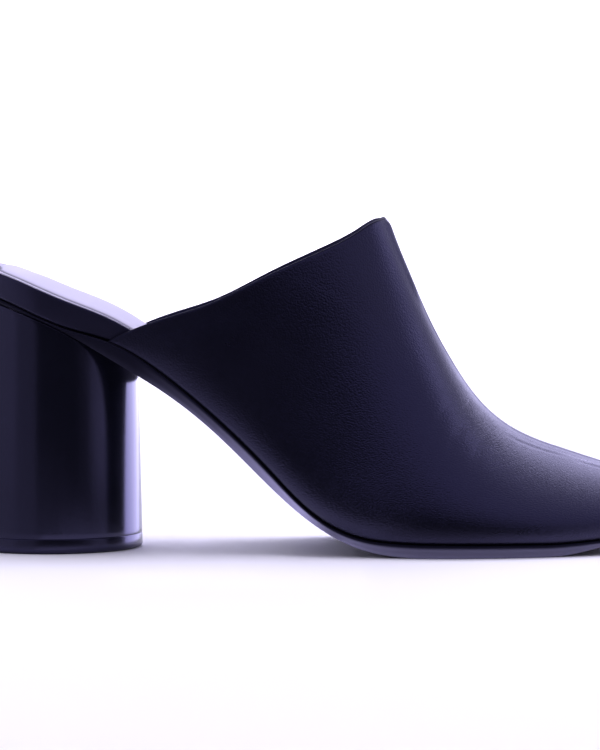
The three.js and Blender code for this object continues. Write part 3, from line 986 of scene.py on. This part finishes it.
    def relief(self, grid: np.ndarray, rows: np.ndarray, shares: np.ndarray,
               span: np.ndarray) -> tuple[np.ndarray, np.ndarray, np.ndarray]:
        """Seam, streaks and creases, with the masks that go with them.

        Args:
            grid: Grid of the smooth outer skin.
            rows: The rows' shares.
            shares: The columns' shares on one side.
            span: Length of each column in millimetres.

        Returns:
            The height to add at each point, the dark mask of the seam's groove and of the tuck on the sole,
            which is dark seam and painted shade, and the bending's mask.
        """
        middle = grid.shape[1] // 2
        row, both = rows[:, None], mirrored(shares)[None]
        away = self.from_seam(grid)
        groove = np.exp(-((away / self.seam_width) ** 2))
        full = 1 + self.throat_fullness * np.exp(-((row / self.throat_band) ** 2))
        lip = full * np.exp(-(((away - full * self.lip_reach) / (full * self.lip_width)) ** 2))
        height = self.lip_height * lip - self.seam_depth * groove
        for streak in self.streaks:
            half = streak.side.half(middle)
            part = np.clip((row - streak.start) / (streak.end - streak.start), 0, 1)
            reach = streak.reach[0] + (streak.reach[1] - streak.reach[0]) * part
            fade = smoothstep(part, 0, self.streak_fade[0]) * (1 - smoothstep(part, self.streak_fade[1], 1))
            height[:, half] -= streak.depth * trough((away[:, half] - reach) / streak.width) * fade
        for crease in self.creases:
            half = crease.side.half(middle)
            share = both[:, half]
            centre = crease.row + crease.lean * (share - (crease.low + crease.high) / 2)
            fade = smoothstep(share, crease.low, crease.low + self.crease_fade[0])
            fade = fade * (1 - smoothstep(share, crease.high - self.crease_fade[1], crease.high))
            height[:, half] -= crease.depth * trough((row - centre) * span[half] / crease.width) * fade
        foot = grid[:, [0] * (middle + 1) + [-1] * middle]
        raised = np.linalg.norm(grid - foot, axis=2)
        height -= self.tuck_depth * np.exp(-((raised / self.tuck_width) ** 2))
        lift = raised / self.waist_roll_height
        waist = smoothstep(row, *self.waist_rows[:2]) * (1 - smoothstep(row, *self.waist_rows[2:]))
        height += self.waist_roll * waist * lift * np.exp(1 - lift) * (lift < self.waist_roll_end)
        # dark mask: the seam's groove, dark seam with painted shade in it, and a band of painted shade where
        # the vamp tucks onto the sole
        dark = np.maximum(groove, 1 - smoothstep(raised, *self.tuck_painted_shade))
        bending = np.exp(-(((row - self.bend_row) / self.bend_spread) ** 2))
        flex = bending * smoothstep(both, *self.bend_low)
        flex = flex * (1 - self.bend_eased * smoothstep(both, *self.bend_high))
        return height, dark.ravel(), np.clip(flex, 0, 1).ravel()

    def steady(self, grid: np.ndarray, normals: np.ndarray) -> np.ndarray:
        """Lets the outer half's normals lead round the place where the seam turns down the toe.

        The inner half's columns crowd there, so that its own normals can turn over.

        Args:
            grid: Grid of the smooth outer skin.
            normals: A normal for each of its points.

        Returns:
            A grid of normals.
        """
        middle = grid.shape[1] // 2
        away = np.linalg.norm(grid - grid[-1, middle], axis=2)
        close = np.flatnonzero(away < self.turn_reach)
        outer = normals[close[close % grid.shape[1] < middle]].sum(axis=0)
        own = smoothstep(away, self.turn_reach, 2 * self.turn_reach)[..., None]
        return unit(unit(outer) * (1 - own) + normals.reshape(grid.shape) * own)

    def inside(self, grid: np.ndarray, normals: np.ndarray, rows: np.ndarray) -> np.ndarray:
        """The inner skin, thinner at the topline and level with the outer one on the sole.

        Args:
            grid: Grid of the smooth outer skin.
            normals: Its normals.
            rows: The rows' shares.

        Returns:
            A grid of points.
        """
        inwards = normals.copy()
        inwards[:, [0, -1], 2] = 0
        thick = self.topline_wall + (self.wall - self.topline_wall) * np.minimum(1, rows / self.topline_band)
        return grid - unit(inwards) * thick[:, None, None]

    def folded_rim(self, raised: np.ndarray, inner: np.ndarray) -> np.ndarray:
        """The round fold between the two skins at the topline.

        Args:
            raised: Grid of the outer skin with its relief.
            inner: Grid of the inner skin.

        Returns:
            Rows of points, from the outer skin to the inner one.
        """
        half = (raised[0] - inner[0]) / 2
        bulge = np.linalg.norm(half, axis=1)[:, None] * unit(raised[0] - raised[1])
        turns = np.pi * np.arange(1, self.rim_steps) / self.rim_steps
        return np.array([inner[0] + half + half * math.cos(t) + bulge * math.sin(t) for t in turns])

    def build(self) -> bpy.types.Object:
        """Builds the shell.

        Returns:
            The object, whose second material slot is the lining.
        """
        shares, rows = self.shares(), self.places()
        grid = self.both_halves(rows, shares)
        count, width = grid.shape[:2]
        index = np.arange(count * width).reshape(count, width)
        index[-1, width // 2 :] = index[-1, width // 2 :: -1]
        quads = index.ravel()[grid_faces(count, width)[:, ::-1]]
        normals = self.steady(grid, point_normals(grid.reshape(-1, 3), quads))
        along = np.linalg.norm(np.diff(grid, axis=0, prepend=grid[:1]), axis=2).cumsum(axis=0)
        across = np.linalg.norm(np.diff(grid, axis=1, prepend=grid[:, :1]), axis=2).cumsum(axis=1)
        across -= across[:, [width // 2]]
        # seam is the dark mask: dark seam with painted shade in its groove, and painted shade at the tuck on
        # the sole
        height, seam, flex = self.relief(grid, rows, shares, along[-1])
        raised = grid + normals * height[..., None]
        inner = self.inside(grid, normals, rows)
        rim = self.folded_rim(raised, inner)
        points = np.vstack([raised.reshape(-1, 3), rim.reshape(-1, 3), inner.reshape(-1, 3)])
        start = count * width + len(rim) * width
        fold = count * width + np.arange(len(rim) * width).reshape(-1, width)
        hem = np.vstack([index[:1], fold, start + index[:1]])
        hem_quads = hem.ravel()[grid_faces(len(hem), width)].tolist()
        ends = ((0, 1), (width - 1, -1))
        foot = [[index[i + 1, j], index[i, j], start + index[i, j], start + index[i + 1, j]][::way]
                for j, way in ends for i in range(count - 1)]
        shell = [list(dict.fromkeys(quad)) for quad in quads.tolist()]
        lining = [list(dict.fromkeys(quad)) for quad in (quads[:, ::-1] + start).tolist()]
        caps = [hem[:, j].tolist()[::way] for j, way in ends]
        made = build_object("vamp_shell", points, shell + hem_quads + foot + lining + caps)
        lined = along[:-1, width // 2] > self.facing_depth
        first = len(shell) + len(hem_quads) + len(foot)
        slots = np.zeros(len(made.data.polygons), np.int32)
        slots[first : first + len(lining)] = np.repeat(lined, width - 1)
        made.data.polygons.foreach_set("material_index", slots)
        flat = np.stack([along, across], axis=-1).reshape(-1, 2)
        folded = [flat[:width] - [self.rim_step * (k + 1), 0] for k in range(len(rim))]
        add_map(made, "leather", np.vstack([flat, *folded, flat]))
        blank = np.zeros(len(rim) * width)
        add_mask(made, "mark", np.concatenate([seam, blank + self.rim_mark, 0 * seam]))
        add_mask(made, "flex", np.concatenate([flex, blank, 0 * flex]))
        return made


@dataclass
class Bottom:
    """Outsole, insole board and sock, which share the sole's outline."""

    sole: SoleForm
    upper: Upper
    # side of the sole, from the rim of the tread to the rounding under the upper
    edge_bevel: float = 0.9
    edge_rounding: float = 0.6
    tread_rim: tuple[float, float] = (0.25, 0.03)
    side_shares: tuple[float, float, int] = (0.06, 0.96, 16)
    # board, and how far it draws in where the upper is tucked under it
    visible_gap: float = 0.1
    board_rounding: float = 0.7
    rand_fold: float = 1.1
    rand_steps: int = 7
    tuck_length: float = 24
    lasting_gap: float = 0.4
    # sock with its rim, and the padded field inside the groove
    sock_thickness: float = 0.9
    sock_rounding: float = 0.3
    sock_edge: float = 0.35
    sock_heel_edge: float = 0.45
    sock_heel_span: tuple[float, float] = (-18, 6)
    pad_inset: float = 3.1
    pad_heel_inset: float = 11
    rim_rise: float = 0.2
    pad_shoulder: float = 6
    pad_heel_shoulder: float = 2.4
    pad_rise: float = 0.3
    pad_fullness: float = 0.7
    pad_crown: float = 1.3
    groove_width: float = 0.45
    groove_depth: float = 0.25
    rim_shares: tuple[float, float] = (0.4, 0.8)
    # step across the groove in its widths, share of its depth, share of the dark colour, which paints shade
    # in the groove
    groove_rings: tuple[tuple[float, ...], ...] = (
        (-1, 0.1, 0), (-0.55, 0.75, 0.5), (-0.1, 1, 0.75), (0.35, 0.5, 0.7),
    )
    # share of the way up the pad's shoulder, share of the dark colour, which paints shade at the shoulder's
    # foot
    pad_rings: tuple[tuple[float, ...], ...] = (
        (0.08, 0.5), (0.18, 0.1), (0.32, 0), (0.5, 0), (0.75, 0), (1, 0),
    )
    # place, share of the dark colour at the lower edge of the sole's side, share at its half height: ink
    # with painted shade where it is high, and pale leather that paints the floor's glow where it is low
    ink_and_light_rows: tuple[tuple[float, float, float], ...] = (
        (-27, 1, 1), (27, 0.985, 1), (39, 0.81, 0.95), (51, 0.67, 0.84), (64, 0.49, 0.49),
        (76, 0, 0), (85, 0.62, 0.74), (90, 0.43, 0.61), (97, 0.56, 0.69), (106, 0.56, 0.76),
        (121, 0.6, 0.78), (155, 0.66, 0.78), (195, 0.75, 0.82),
    )
    # shares of the way up the sole's side between which ink and painted shade close at its upper edge, under
    # the upper's crease
    ink_and_shade_closes: tuple[float, float] = (0.7, 0.99)

    def board_inset(self, x: np.ndarray) -> np.ndarray:
        """Returns how far the board's side stands in from the sole's edge at x."""
        upper, tail = self.upper, self.upper.tail_reach
        behind = smoothstep(x, tail - self.tuck_length, tail)
        ahead = smoothstep(x, tail, tail + self.tuck_length)
        at_tail = upper.feather_inset + upper.topline_wall + self.lasting_gap
        return at_tail * behind + (upper.wall - upper.topline_wall) * ahead

    def side_height(self, x: np.ndarray) -> np.ndarray:
        """Returns the height of the sole's bevelled side at x."""
        return self.sole.sole_top(x) - self.edge_rounding - self.sole.underside(x)

    def ink_and_painted_shade(self, x: np.ndarray, part: float) -> np.ndarray:
        """How much dark colour the sole's side carries: ink, with painted shade under the upper's crease.

        Args:
            x: Places along the sole.
            part: Share of the way up the side.

        Returns:
            The dark share: least at the lower edge, where the pale leather paints the floor's glow.
        """
        places, lower, middle = zip(*self.ink_and_light_rows)
        low, half = np.interp(x, places, lower), np.interp(x, places, middle)
        ink_and_painted_shade = low + (half - low) * smoothstep(part, 0, 0.5)
        return ink_and_painted_shade + (1 - ink_and_painted_shade) * smoothstep(part, *self.ink_and_shade_closes)

    def build_outsole(self) -> bpy.types.Object:
        """Returns the thin sole with its bevelled edge."""
        sole, bevel = self.sole, self.edge_bevel
        inwards, upwards = self.tread_rim
        lower = [
            Layer(level(bevel + inwards), sole.underside, level(1)),
            Layer(level(bevel), lambda x: sole.underside(x) + upwards, lambda x: self.ink_and_painted_shade(x, 0)),
        ]
        for part in np.linspace(*self.side_shares):
            lower.append(Layer(
                level(bevel * (1 - part) ** 2),
                lambda x, part=part: sole.underside(x) + self.side_height(x) * part,
                lambda x, part=part: self.ink_and_painted_shade(x, part),
            ))
        upper = rounded(level(0), sole.sole_top, self.edge_rounding, upwards=True)
        # the rounding under the upper is fully dark: ink and painted shade of the crease
        for layer in upper:
            layer.mark = level(1)
        return build_slab("outsole_edged", sole, lower + upper)

    def build_insole(self) -> bpy.types.Object:
        """Returns the wrapped board, whose side is the rand round the seat."""
        sole, inset = self.sole, self.board_inset
        lower = rounded(inset, lambda x: sole.sole_top(x) + self.visible_gap, self.rand_fold,
                        upwards=False, steps=self.rand_steps)
        upper = rounded(inset, sole.board_top, self.board_rounding / 2, upwards=True)
        return build_slab("insole_wrapped", sole, lower + upper)

    def sock_foot(self, x: np.ndarray) -> np.ndarray:
        """Returns the height of the sock's underside."""
        return self.sole.board_top(x) + self.visible_gap

    def sock_inset(self, x: np.ndarray) -> np.ndarray:
        """Returns how far the sock's side stands in from the sole's edge."""
        return self.board_inset(x) + self.board_rounding / 2

    def sock_rim(self, x: np.ndarray) -> np.ndarray:
        """Returns the height of the sock's rim, which is fullest behind the pad."""
        behind = 1 - smoothstep(x, *self.sock_heel_span)
        return self.sock_foot(x) + self.sock_edge + (self.sock_heel_edge - self.sock_edge) * behind

    def at_heel(self, x: np.ndarray) -> np.ndarray:
        """Returns how much a place belongs to the back of the seat."""
        return 1 - smoothstep(x, -self.sole.seat_radius, -self.sole.seat_radius / 2)

    def pad_edge(self, x: np.ndarray) -> np.ndarray:
        """Returns how far the groove round the pad stands in from the sole's edge."""
        return self.pad_inset + (self.pad_heel_inset - self.pad_inset) * self.at_heel(x)

    def shoulder(self, x: np.ndarray) -> np.ndarray:
        """Returns how far in from its groove the pad reaches its full height."""
        return self.pad_shoulder - (self.pad_shoulder - self.pad_heel_shoulder) * self.at_heel(x)

    def pad_top(self, x: np.ndarray) -> np.ndarray:
        """Returns the height of the pad inside its shoulder."""
        under = self.sock_foot(x) - self.visible_gap + self.sole.clearance
        return under + self.sock_thickness + self.rim_rise + self.pad_rise

    def build_sock(self) -> bpy.types.Object:
        """Returns the cover of the insole with its raised, padded field and painted shade in the groove
        round it.
        """
        groove = self.groove_width
        layers = [Layer(self.sock_inset, self.sock_foot)]
        layers += rounded(self.sock_inset, self.sock_rim, self.sock_rounding, upwards=True)
        for part in self.rim_shares:
            layers.append(Layer(
                lambda x, part=part: (self.sock_inset(x) + self.sock_rounding) * (1 - part)
                + (self.pad_edge(x) - groove) * part,
                self.sock_rim,
            ))
        for step, drop, mark in self.groove_rings:
            layers.append(Layer(
                lambda x, step=step: self.pad_edge(x) + step * groove,
                lambda x, drop=drop: self.sock_rim(x) - drop * self.groove_depth,
                level(mark),
            ))
        for part, mark in self.pad_rings:
            full = math.sin(QUARTER * part) ** self.pad_fullness
            layers.append(Layer(
                lambda x, part=part: self.pad_edge(x) + groove + self.shoulder(x) * part,
                lambda x, full=full: self.sock_rim(x) * (1 - full) + self.pad_top(x) * full,
                level(mark),
            ))
        return build_slab("sock_padded", self.sole, layers, level(self.pad_crown))


@dataclass
class HeelBlock:
    """Covered heel and its wearing piece, both turned about the heel's axis."""

    sole: SoleForm
    # form, as in the solids, and how the visible pieces meet
    heel_inset: float = 0.5
    flare: float = 1.9
    lift_thickness: float = 4.4
    lift_rounding: float = 1.2
    lift_joint: float = 0.06
    seat_gap: float = 0.15
    cover_rounding: float = 0.2
    lift_neck: float = 0.1
    # grid
    sides: int = 160
    steps: int = 40
    rounding_steps: int = 4
    lift_rounding_steps: int = 6
    cap_shares: tuple[float, ...] = (0.97, 0.85, 0.7, 0.5, 0.3, 0.12)
    # height at which the cover's map is true to size, and the cover's seam
    map_height: float = 40
    seam_depth: float = 0.25
    seam_width: float = 0.5

    def radius(self, height: np.ndarray | float) -> np.ndarray | float:
        """Returns the block's radius at a height."""
        top = self.sole.seat_radius - self.heel_inset
        return top + self.flare * (1 - height / self.sole.seat_rise)

    def turns(self) -> np.ndarray:
        """Returns the angles round the heel, from the side under the arch."""
        return 2 * np.pi * np.arange(self.sides) / self.sides

    def ring(self, radius: np.ndarray | float, height: np.ndarray | float) -> np.ndarray:
        """Returns the points of one ring about the heel's axis."""
        turn = self.turns()
        return np.column_stack([radius * np.cos(turn), radius * np.sin(turn), height + 0 * turn])

    def seat(self) -> np.ndarray:
        """Returns the height at which the block's side meets the sole, round the heel."""
        top = np.full(self.sides, self.sole.seat_rise)
        tries = 40
        for _ in range(tries):
            top = self.sole.underside(self.radius(top) * np.cos(self.turns())) - self.seat_gap
        return top

    def build_heel(self) -> bpy.types.Object:
        """Builds the block, cut on top by the underside of the sole.

        Returns:
            The object.
        """
        foot, top, ease = self.lift_thickness + self.lift_joint, self.seat(), self.cover_rounding
        corner = QUARTER * np.arange(self.rounding_steps + 1) / self.rounding_steps
        sides = [(foot + ease * (1 - math.cos(a)), ease * (1 - math.sin(a))) for a in corner]
        for share in np.arange(1, self.steps) / self.steps:
            sides.append((foot + ease + (top - foot - 2 * ease) * share, 0))
        sides += [(top - ease * (1 - math.sin(a)), ease * (1 - math.cos(a))) for a in corner]
        from_seam = np.angle(np.exp(1j * self.turns())) * self.radius(self.map_height)
        seam = np.exp(-((from_seam / self.seam_width) ** 2))
        rings = [self.ring(self.radius(z) - inset - self.seam_depth * seam, z) for z, inset in sides]
        side_count = len(rings)
        for share in self.cap_shares:
            ring = rings[side_count - 1] * [share, share, 1]
            ring[:, 2] = self.sole.underside(ring[:, 0]) - self.seat_gap
            rings.append(ring)
        centre = float(self.sole.underside(np.array(0.0))) - self.seat_gap
        points = np.vstack([*rings, [[0, 0, centre]]])
        faces = grid_faces(len(rings), self.sides, closed=True).tolist()
        tip = len(points) - 1
        last = tip - self.sides
        faces += [[last + k, last + (k + 1) % self.sides, tip] for k in range(self.sides)]
        faces.append(list(range(self.sides))[::-1])
        made = build_object("heel_covered", points, faces)
        around = np.arctan2(points[:, 1], points[:, 0]) * self.radius(self.map_height)
        add_map(made, "leather", np.column_stack([points[:, 2], around]))
        blank = np.zeros(len(points) - side_count * self.sides)
        add_mask(made, "mark", np.concatenate([np.tile(seam, side_count), blank]))
        return made

    def build_lift(self) -> bpy.types.Object:
        """Builds the wearing piece.

        Returns:
            The object.
        """
        ease, top, neck = self.lift_rounding, self.lift_thickness, self.lift_neck
        foot, head = self.radius(0), self.radius(top)
        profile = [(foot * share, 0) for share in (0.5, 0.9)]
        for angle in QUARTER * np.arange(self.lift_rounding_steps + 1) / self.lift_rounding_steps:
            profile.append((foot - ease * (1 - math.sin(angle)), ease * (1 - math.cos(angle))))
        profile += [(head, top - 2 * neck), (head - 0.6 * neck, top - neck / 2)]
        profile += [(head - neck, top), (head / 2, top)]
        points = np.vstack([*[self.ring(r, z) for r, z in profile], [[0, 0, 0], [0, 0, top]]])
        faces = grid_faces(len(profile), self.sides, closed=True).tolist()
        low, high = len(points) - 2, len(points) - 1
        start = (len(profile) - 1) * self.sides
        for k in range(self.sides):
            after = (k + 1) % self.sides
            faces += [[after, k, low], [start + k, start + after, high]]
        return build_object("heel_lift", points, faces)


CARD_WHITE = "f1eeff"
REAR_TINT = "d9d5ff"


@dataclass(frozen=True)
class Screen:
    """A glowing card that shows in the gloss only. Its corners are in millimetres."""

    name: str
    edges: tuple[tuple[float, ...], ...]
    glow: float
    colour: str = CARD_WHITE


def standing(name: str, left: Sequence[float], right: Sequence[float], top: float, glow: float,
             colour: str = CARD_WHITE, foot: float = 0) -> Screen:
    """Makes an upright screen.

    Args:
        name: Name of the screen.
        left: X and Y of one side.
        right: X and Y of the other.
        top: Height of its upper edge.
        glow: Its radiance.
        colour: Its sRGB colour.
        foot: Height of its lower edge.

    Returns:
        The screen.
    """
    return Screen(name, ((*left, foot), (*right, foot), (*right, top), (*left, top)), glow, colour)


def lying(name: str, low: Sequence[float], high: Sequence[float], glow: float,
          colour: str = CARD_WHITE, height: float = 1) -> Screen:
    """Makes a level screen.

    Args:
        name: Name of the screen.
        low: Lowest X and Y.
        high: Highest X and Y.
        glow: Its radiance.
        colour: Its sRGB colour.
        height: Its height.

    Returns:
        The screen.
    """
    flat = ((low[0], low[1]), (high[0], low[1]), (high[0], high[1]), (low[0], high[1]))
    return Screen(name, tuple((*corner, height) for corner in flat), glow, colour)


@dataclass
class Studio:
    """Pale floor that sweeps up behind, soft lights and the camera of the photograph."""

    # the camera and the lamps stand in metres, the floor and the screens in millimetres
    camera_distance: float = 2.0
    camera_height: float = 0.1971
    camera_along: float = 0.07576
    aim_height: float = 0.0519
    pixels_per_metre: float = 3300
    long_side: float = 750
    sensor: float = 36
    floor_colour: str = "f4f3fa"
    floor_roughness: tuple[float, float] = (0.75, 0.85)
    floor_shine_level: float = 0.2
    floor_grain_scale: float = 30
    floor_front: float = -3000
    floor_half_width: float = 4000
    sweep_from: float = 1500
    sweep_radius: float = 900
    sweep_steps: int = 16
    wall_top: float = 3500
    # name, place, aim, size, power in watts
    lights: tuple[tuple[str, tuple[float, ...], tuple[float, ...], tuple[float, ...], float], ...] = (
        ("overhead", (0.3, 0.4, 1.6), (0.08, 0.1, 0), (2.0, 1.4), 32.0),
        ("backdrop_wash", (0.1, 1.3, 1.2), (0.1, 2.4, 0.5), (1.2, 0.5), 40.0),
    )
    room_glow: float = 0.5
    light_colour: str = CARD_WHITE
    screens: tuple[Screen, ...] = (
        # beside and under the camera: dark ones give the vamp its dark diagonal
        standing("screen_far_left", (-900, -300), (-260, -300), 170, 0.55),
        standing("screen_left", (-260, -300), (-80, -300), 190, 0.32),
        standing("screen_camera", (-80, -300), (60, -300), 290, 0.04),
        standing("screen_camera_low", (60, -300), (110, -300), 230, 0.035),
        standing("screen_camera_side", (110, -300), (240, -300), 215, 0.04),
        standing("screen_right_near", (240, -300), (340, -300), 165, 0.11),
        standing("screen_right_middle", (340, -300), (430, -300), 175, 0.2),
        standing("screen_right", (430, -300), (1200, -300), 170, 0.45),
        # to the right of the toe and overhead
        standing("screen_side", (1200, -300), (1000, 700), 1300, 0.62, REAR_TINT),
        lying("screen_ceiling", (-3000, -3000), (3000, 2000), 0.62, REAR_TINT, height=1500),
        # on the floor: they colour the sole's side, the rand and the foot of the vamp
        lying("screen_floor_left", (-700, -300), (-94, -20), 0.42),
        lying("screen_floor_front_left", (-94, -300), (20, -80), 0.4),
        lying("screen_floor_front", (20, -300), (95, -125), 0.3),
        lying("screen_floor_near", (20, -125), (95, -80), 0.9),
        lying("screen_floor_heel", (-94, -80), (-5, -30), 0.6),
        lying("screen_floor_waist", (-5, -80), (74, -30), 0.95),
        lying("screen_floor_arch", (30, -30), (74, 40), 0.9),
        lying("screen_floor_ball", (74, -80), (95, -46), 0.7),
        lying("screen_floor_toe", (95, -300), (340, -62), 0.08),
        lying("screen_floor_edge", (95, -62), (340, -46), 0.38),
        # behind the shoe and under its arch: bright edges on the throat, the heel and the toe
        standing("screen_throat", (287, 8), (287, 90), 215, 2.1, REAR_TINT, foot=140),
        standing("screen_rear", (349, 120), (168, 317), 75, 4.5, REAR_TINT),
        Screen("screen_arch", ((46, -8, 0), (46, 26, 0), (31.5, 26, 50), (31.5, -8, 50)), 5, REAR_TINT),
        standing("screen_backdrop_left", (-1200, 700), (-250, 700), 330, 1.3, REAR_TINT),
        standing("screen_backdrop", (-250, 700), (480, 700), 560, 2.5, REAR_TINT),
        standing("screen_backdrop_right", (480, 700), (1000, 700), 330, 1, REAR_TINT),
        standing("screen_low_right", (480, 699), (1000, 699), 150, 2.2, REAR_TINT),
        standing("screen_low_side", (1000, 699), (1190, -250), 150, 1.3, REAR_TINT),
        standing("screen_high", (-1200, 701), (1200, 701), 1500, 0.62, REAR_TINT, foot=330),
    )

    def build_floor(self) -> None:
        """Adds the floor with its sweep."""
        made, tree, shader = empty_material("painted_board")
        grain = add_node(tree, "ShaderNodeTexNoise", {"Scale": self.floor_grain_scale})
        smoothest, dullest = self.floor_roughness
        dulling = add_node(tree, "ShaderNodeMapRange", {
            "Value": grain.outputs["Fac"], "To Min": smoothest, "To Max": dullest,
        })
        tree.links.new(dulling.outputs[0], shader.inputs["Roughness"])
        shader.inputs["Base Color"].default_value = linear(self.floor_colour)
        shader.inputs["Specular IOR Level"].default_value = self.floor_shine_level
        start, radius, half = self.sweep_from, self.sweep_radius, self.floor_half_width
        profile = [(self.floor_front, 0), (0, 0), (start, 0)]
        for angle in QUARTER * np.arange(1, self.sweep_steps + 1) / self.sweep_steps:
            profile.append((start + radius * math.sin(angle), radius * (1 - math.cos(angle))))
        profile.append((start + radius, self.wall_top))
        points = [(x, y, z) for y, z in profile for x in (-half, half)]
        floor = build_object("floor", np.array(points), grid_faces(len(profile), 2)[:, ::-1], 180)
        floor.data.materials.append(made)

    def build_lights(self) -> None:
        """Adds the soft boxes, which don't show in the gloss, and the even glow of the room."""
        for name, place, aim, size, power in self.lights:
            data = bpy.data.lights.new(name, "AREA")
            data.shape = "RECTANGLE"
            data.size, data.size_y = size
            data.energy = power
            data.color = linear(self.light_colour)[:3]
            lamp = bpy.data.objects.new(name, data)
            lamp.location = place
            lamp.rotation_euler = (Vector(aim) - Vector(place)).to_track_quat("-Z", "Y").to_euler()
            lamp.visible_glossy = False
            bpy.context.scene.collection.objects.link(lamp)
        world = bpy.data.worlds.new("room")
        world.use_nodes = True
        tree = world.node_tree
        tree.nodes.clear()
        glow = add_node(tree, "ShaderNodeBackground", {
            "Color": linear(self.light_colour), "Strength": self.room_glow,
        })
        add_node(tree, "ShaderNodeOutputWorld", {"Surface": glow.outputs[0]})
        bpy.context.scene.world = world

    def build_screens(self) -> None:
        """Adds the screens, which only the gloss mirrors."""
        for screen in self.screens:
            card = build_object(screen.name, np.array(screen.edges, float), [(0, 1, 2, 3)])
            made = bpy.data.materials.new(screen.name)
            made.use_nodes = True
            made.node_tree.nodes.clear()
            light = add_node(made.node_tree, "ShaderNodeEmission", {
                "Color": linear(screen.colour), "Strength": screen.glow,
            })
            add_node(made.node_tree, "ShaderNodeOutputMaterial", {"Surface": light.outputs[0]})
            card.data.materials.append(made)
            for ray in ("camera", "diffuse", "transmission", "volume_scatter", "shadow"):
                setattr(card, f"visible_{ray}", False)

    def build_camera(self) -> None:
        """Adds the camera at the photograph's viewing angle."""
        place = Vector((self.camera_along, -self.camera_distance, self.camera_height))
        aim = Vector((self.camera_along, 0, self.aim_height))
        data = bpy.data.cameras.new("camera")
        data.sensor_width = self.sensor
        reach = self.pixels_per_metre * (aim - place).length
        data.lens = self.sensor * reach / self.long_side
        camera = bpy.data.objects.new("camera", data)
        camera.location = place
        camera.rotation_euler = (aim - place).to_track_quat("-Z", "Y").to_euler()
        bpy.context.scene.collection.objects.link(camera)
        bpy.context.scene.camera = camera

    def build(self) -> None:
        """Builds the whole studio."""
        self.build_floor()
        self.build_lights()
        self.build_screens()
        self.build_camera()
        bpy.context.scene.view_settings.view_transform = "Standard"


@dataclass
class Wardrobe:
    """The finishes, each made once."""

    # the grain shows where the shine fades, and fine folds where the foot bends the vamp
    vamp: FinishedLeather = FinishedLeather(name="waxed_calf_vamp", flexes=True)
    # the same calf wrapped round the board: wrapping dulls it and hides the grain
    rand: FinishedLeather = FinishedLeather(
        name="waxed_calf_rand", deep="0c0c15", worn="11111b", roughness=0.4,
        grain_depth_mm=0.015, pore_depth_mm=0.01,
    )
    # the same calf stretched over the block: a nearly plain, clear shine
    cover: FinishedLeather = FinishedLeather(
        name="stretched_calf_heel_cover", roughness=0.2, roughness_spread=0.03,
        grain_mm=1.1, grain_depth_mm=0.005, pore_depth_mm=0.004,
    )
    # pale kid with a satin dressing: soft and even, with painted shade only in the groove round the pad
    sock: FinishedLeather = FinishedLeather(
        name="satin_kid_lining", deep="bcb8cf", worn="c4c1d6", mark_and_shade_colour="1c1a2b", roughness=0.55,
        shine="ffffff", shine_level=0.2, grain_mm=0.7, grain_depth_mm=0.008, pore_depth_mm=0.006,
    )
    # sole leather with an inked and burnished edge, with painted shade under the upper's crease and pale
    # leather below that paints the floor's glow
    edge: FinishedLeather = FinishedLeather(
        name="inked_sole_painted_shade_and_glow", deep="bdb9e0", worn="c6c2e8", mark_and_shade_colour="0c0c14", roughness=0.34,
        shine_level=0.6, grain_mm=0.6, grain_depth_mm=0.006, pore_depth_mm=0.006,
    )
    rubber: LiftRubber = LiftRubber()


def dress(made: bpy.types.Object, node: str, slot: str, *materials: bpy.types.Material) -> None:
    """Gives a piece its materials, hangs it on the root and hides the node of the solids that it replaces.

    Args:
        made: The piece.
        node: The node of the solids that it replaces.
        slot: The record's material slot; not used.
        *materials: Its materials, in the order of its slots.
    """
    for material in materials:
        made.data.materials.append(material)
    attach(made, "root")
    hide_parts(node)
    LOG.info("%s: %d faces", made.name, len(made.data.polygons))


def corners(box: tuple[Vector, Vector]) -> list[list[float]]:
    """Returns the two corners of a box as plain lists."""
    return [list(map(float, corner)) for corner in box]


def main() -> None:
    """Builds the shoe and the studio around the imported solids."""
    logging.basicConfig(level=logging.INFO, format="%(name)s: %(message)s")
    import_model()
    finishes = Wardrobe()
    sole = SoleForm()
    lining = finishes.sock.build()
    upper = Upper(sole)
    dress(upper.build(), "upper", "upper_calf", finishes.vamp.build(), lining)
    bottom = Bottom(sole, upper)
    dress(bottom.build_outsole(), "outsole", "sole_leather", finishes.edge.build())
    dress(bottom.build_insole(), "insole", "rand_calf", finishes.rand.build())
    sock = bottom.build_sock()
    dress(sock, "sock", "sock_leather", lining)
    heel = HeelBlock(sole)
    dress(heel.build_heel(), "heel", "heel_calf", finishes.cover.build())
    dress(heel.build_lift(), "top_lift", "lift_rubber", finishes.rubber.build())
    Studio().build()


if __name__ == "__main__":
    main()
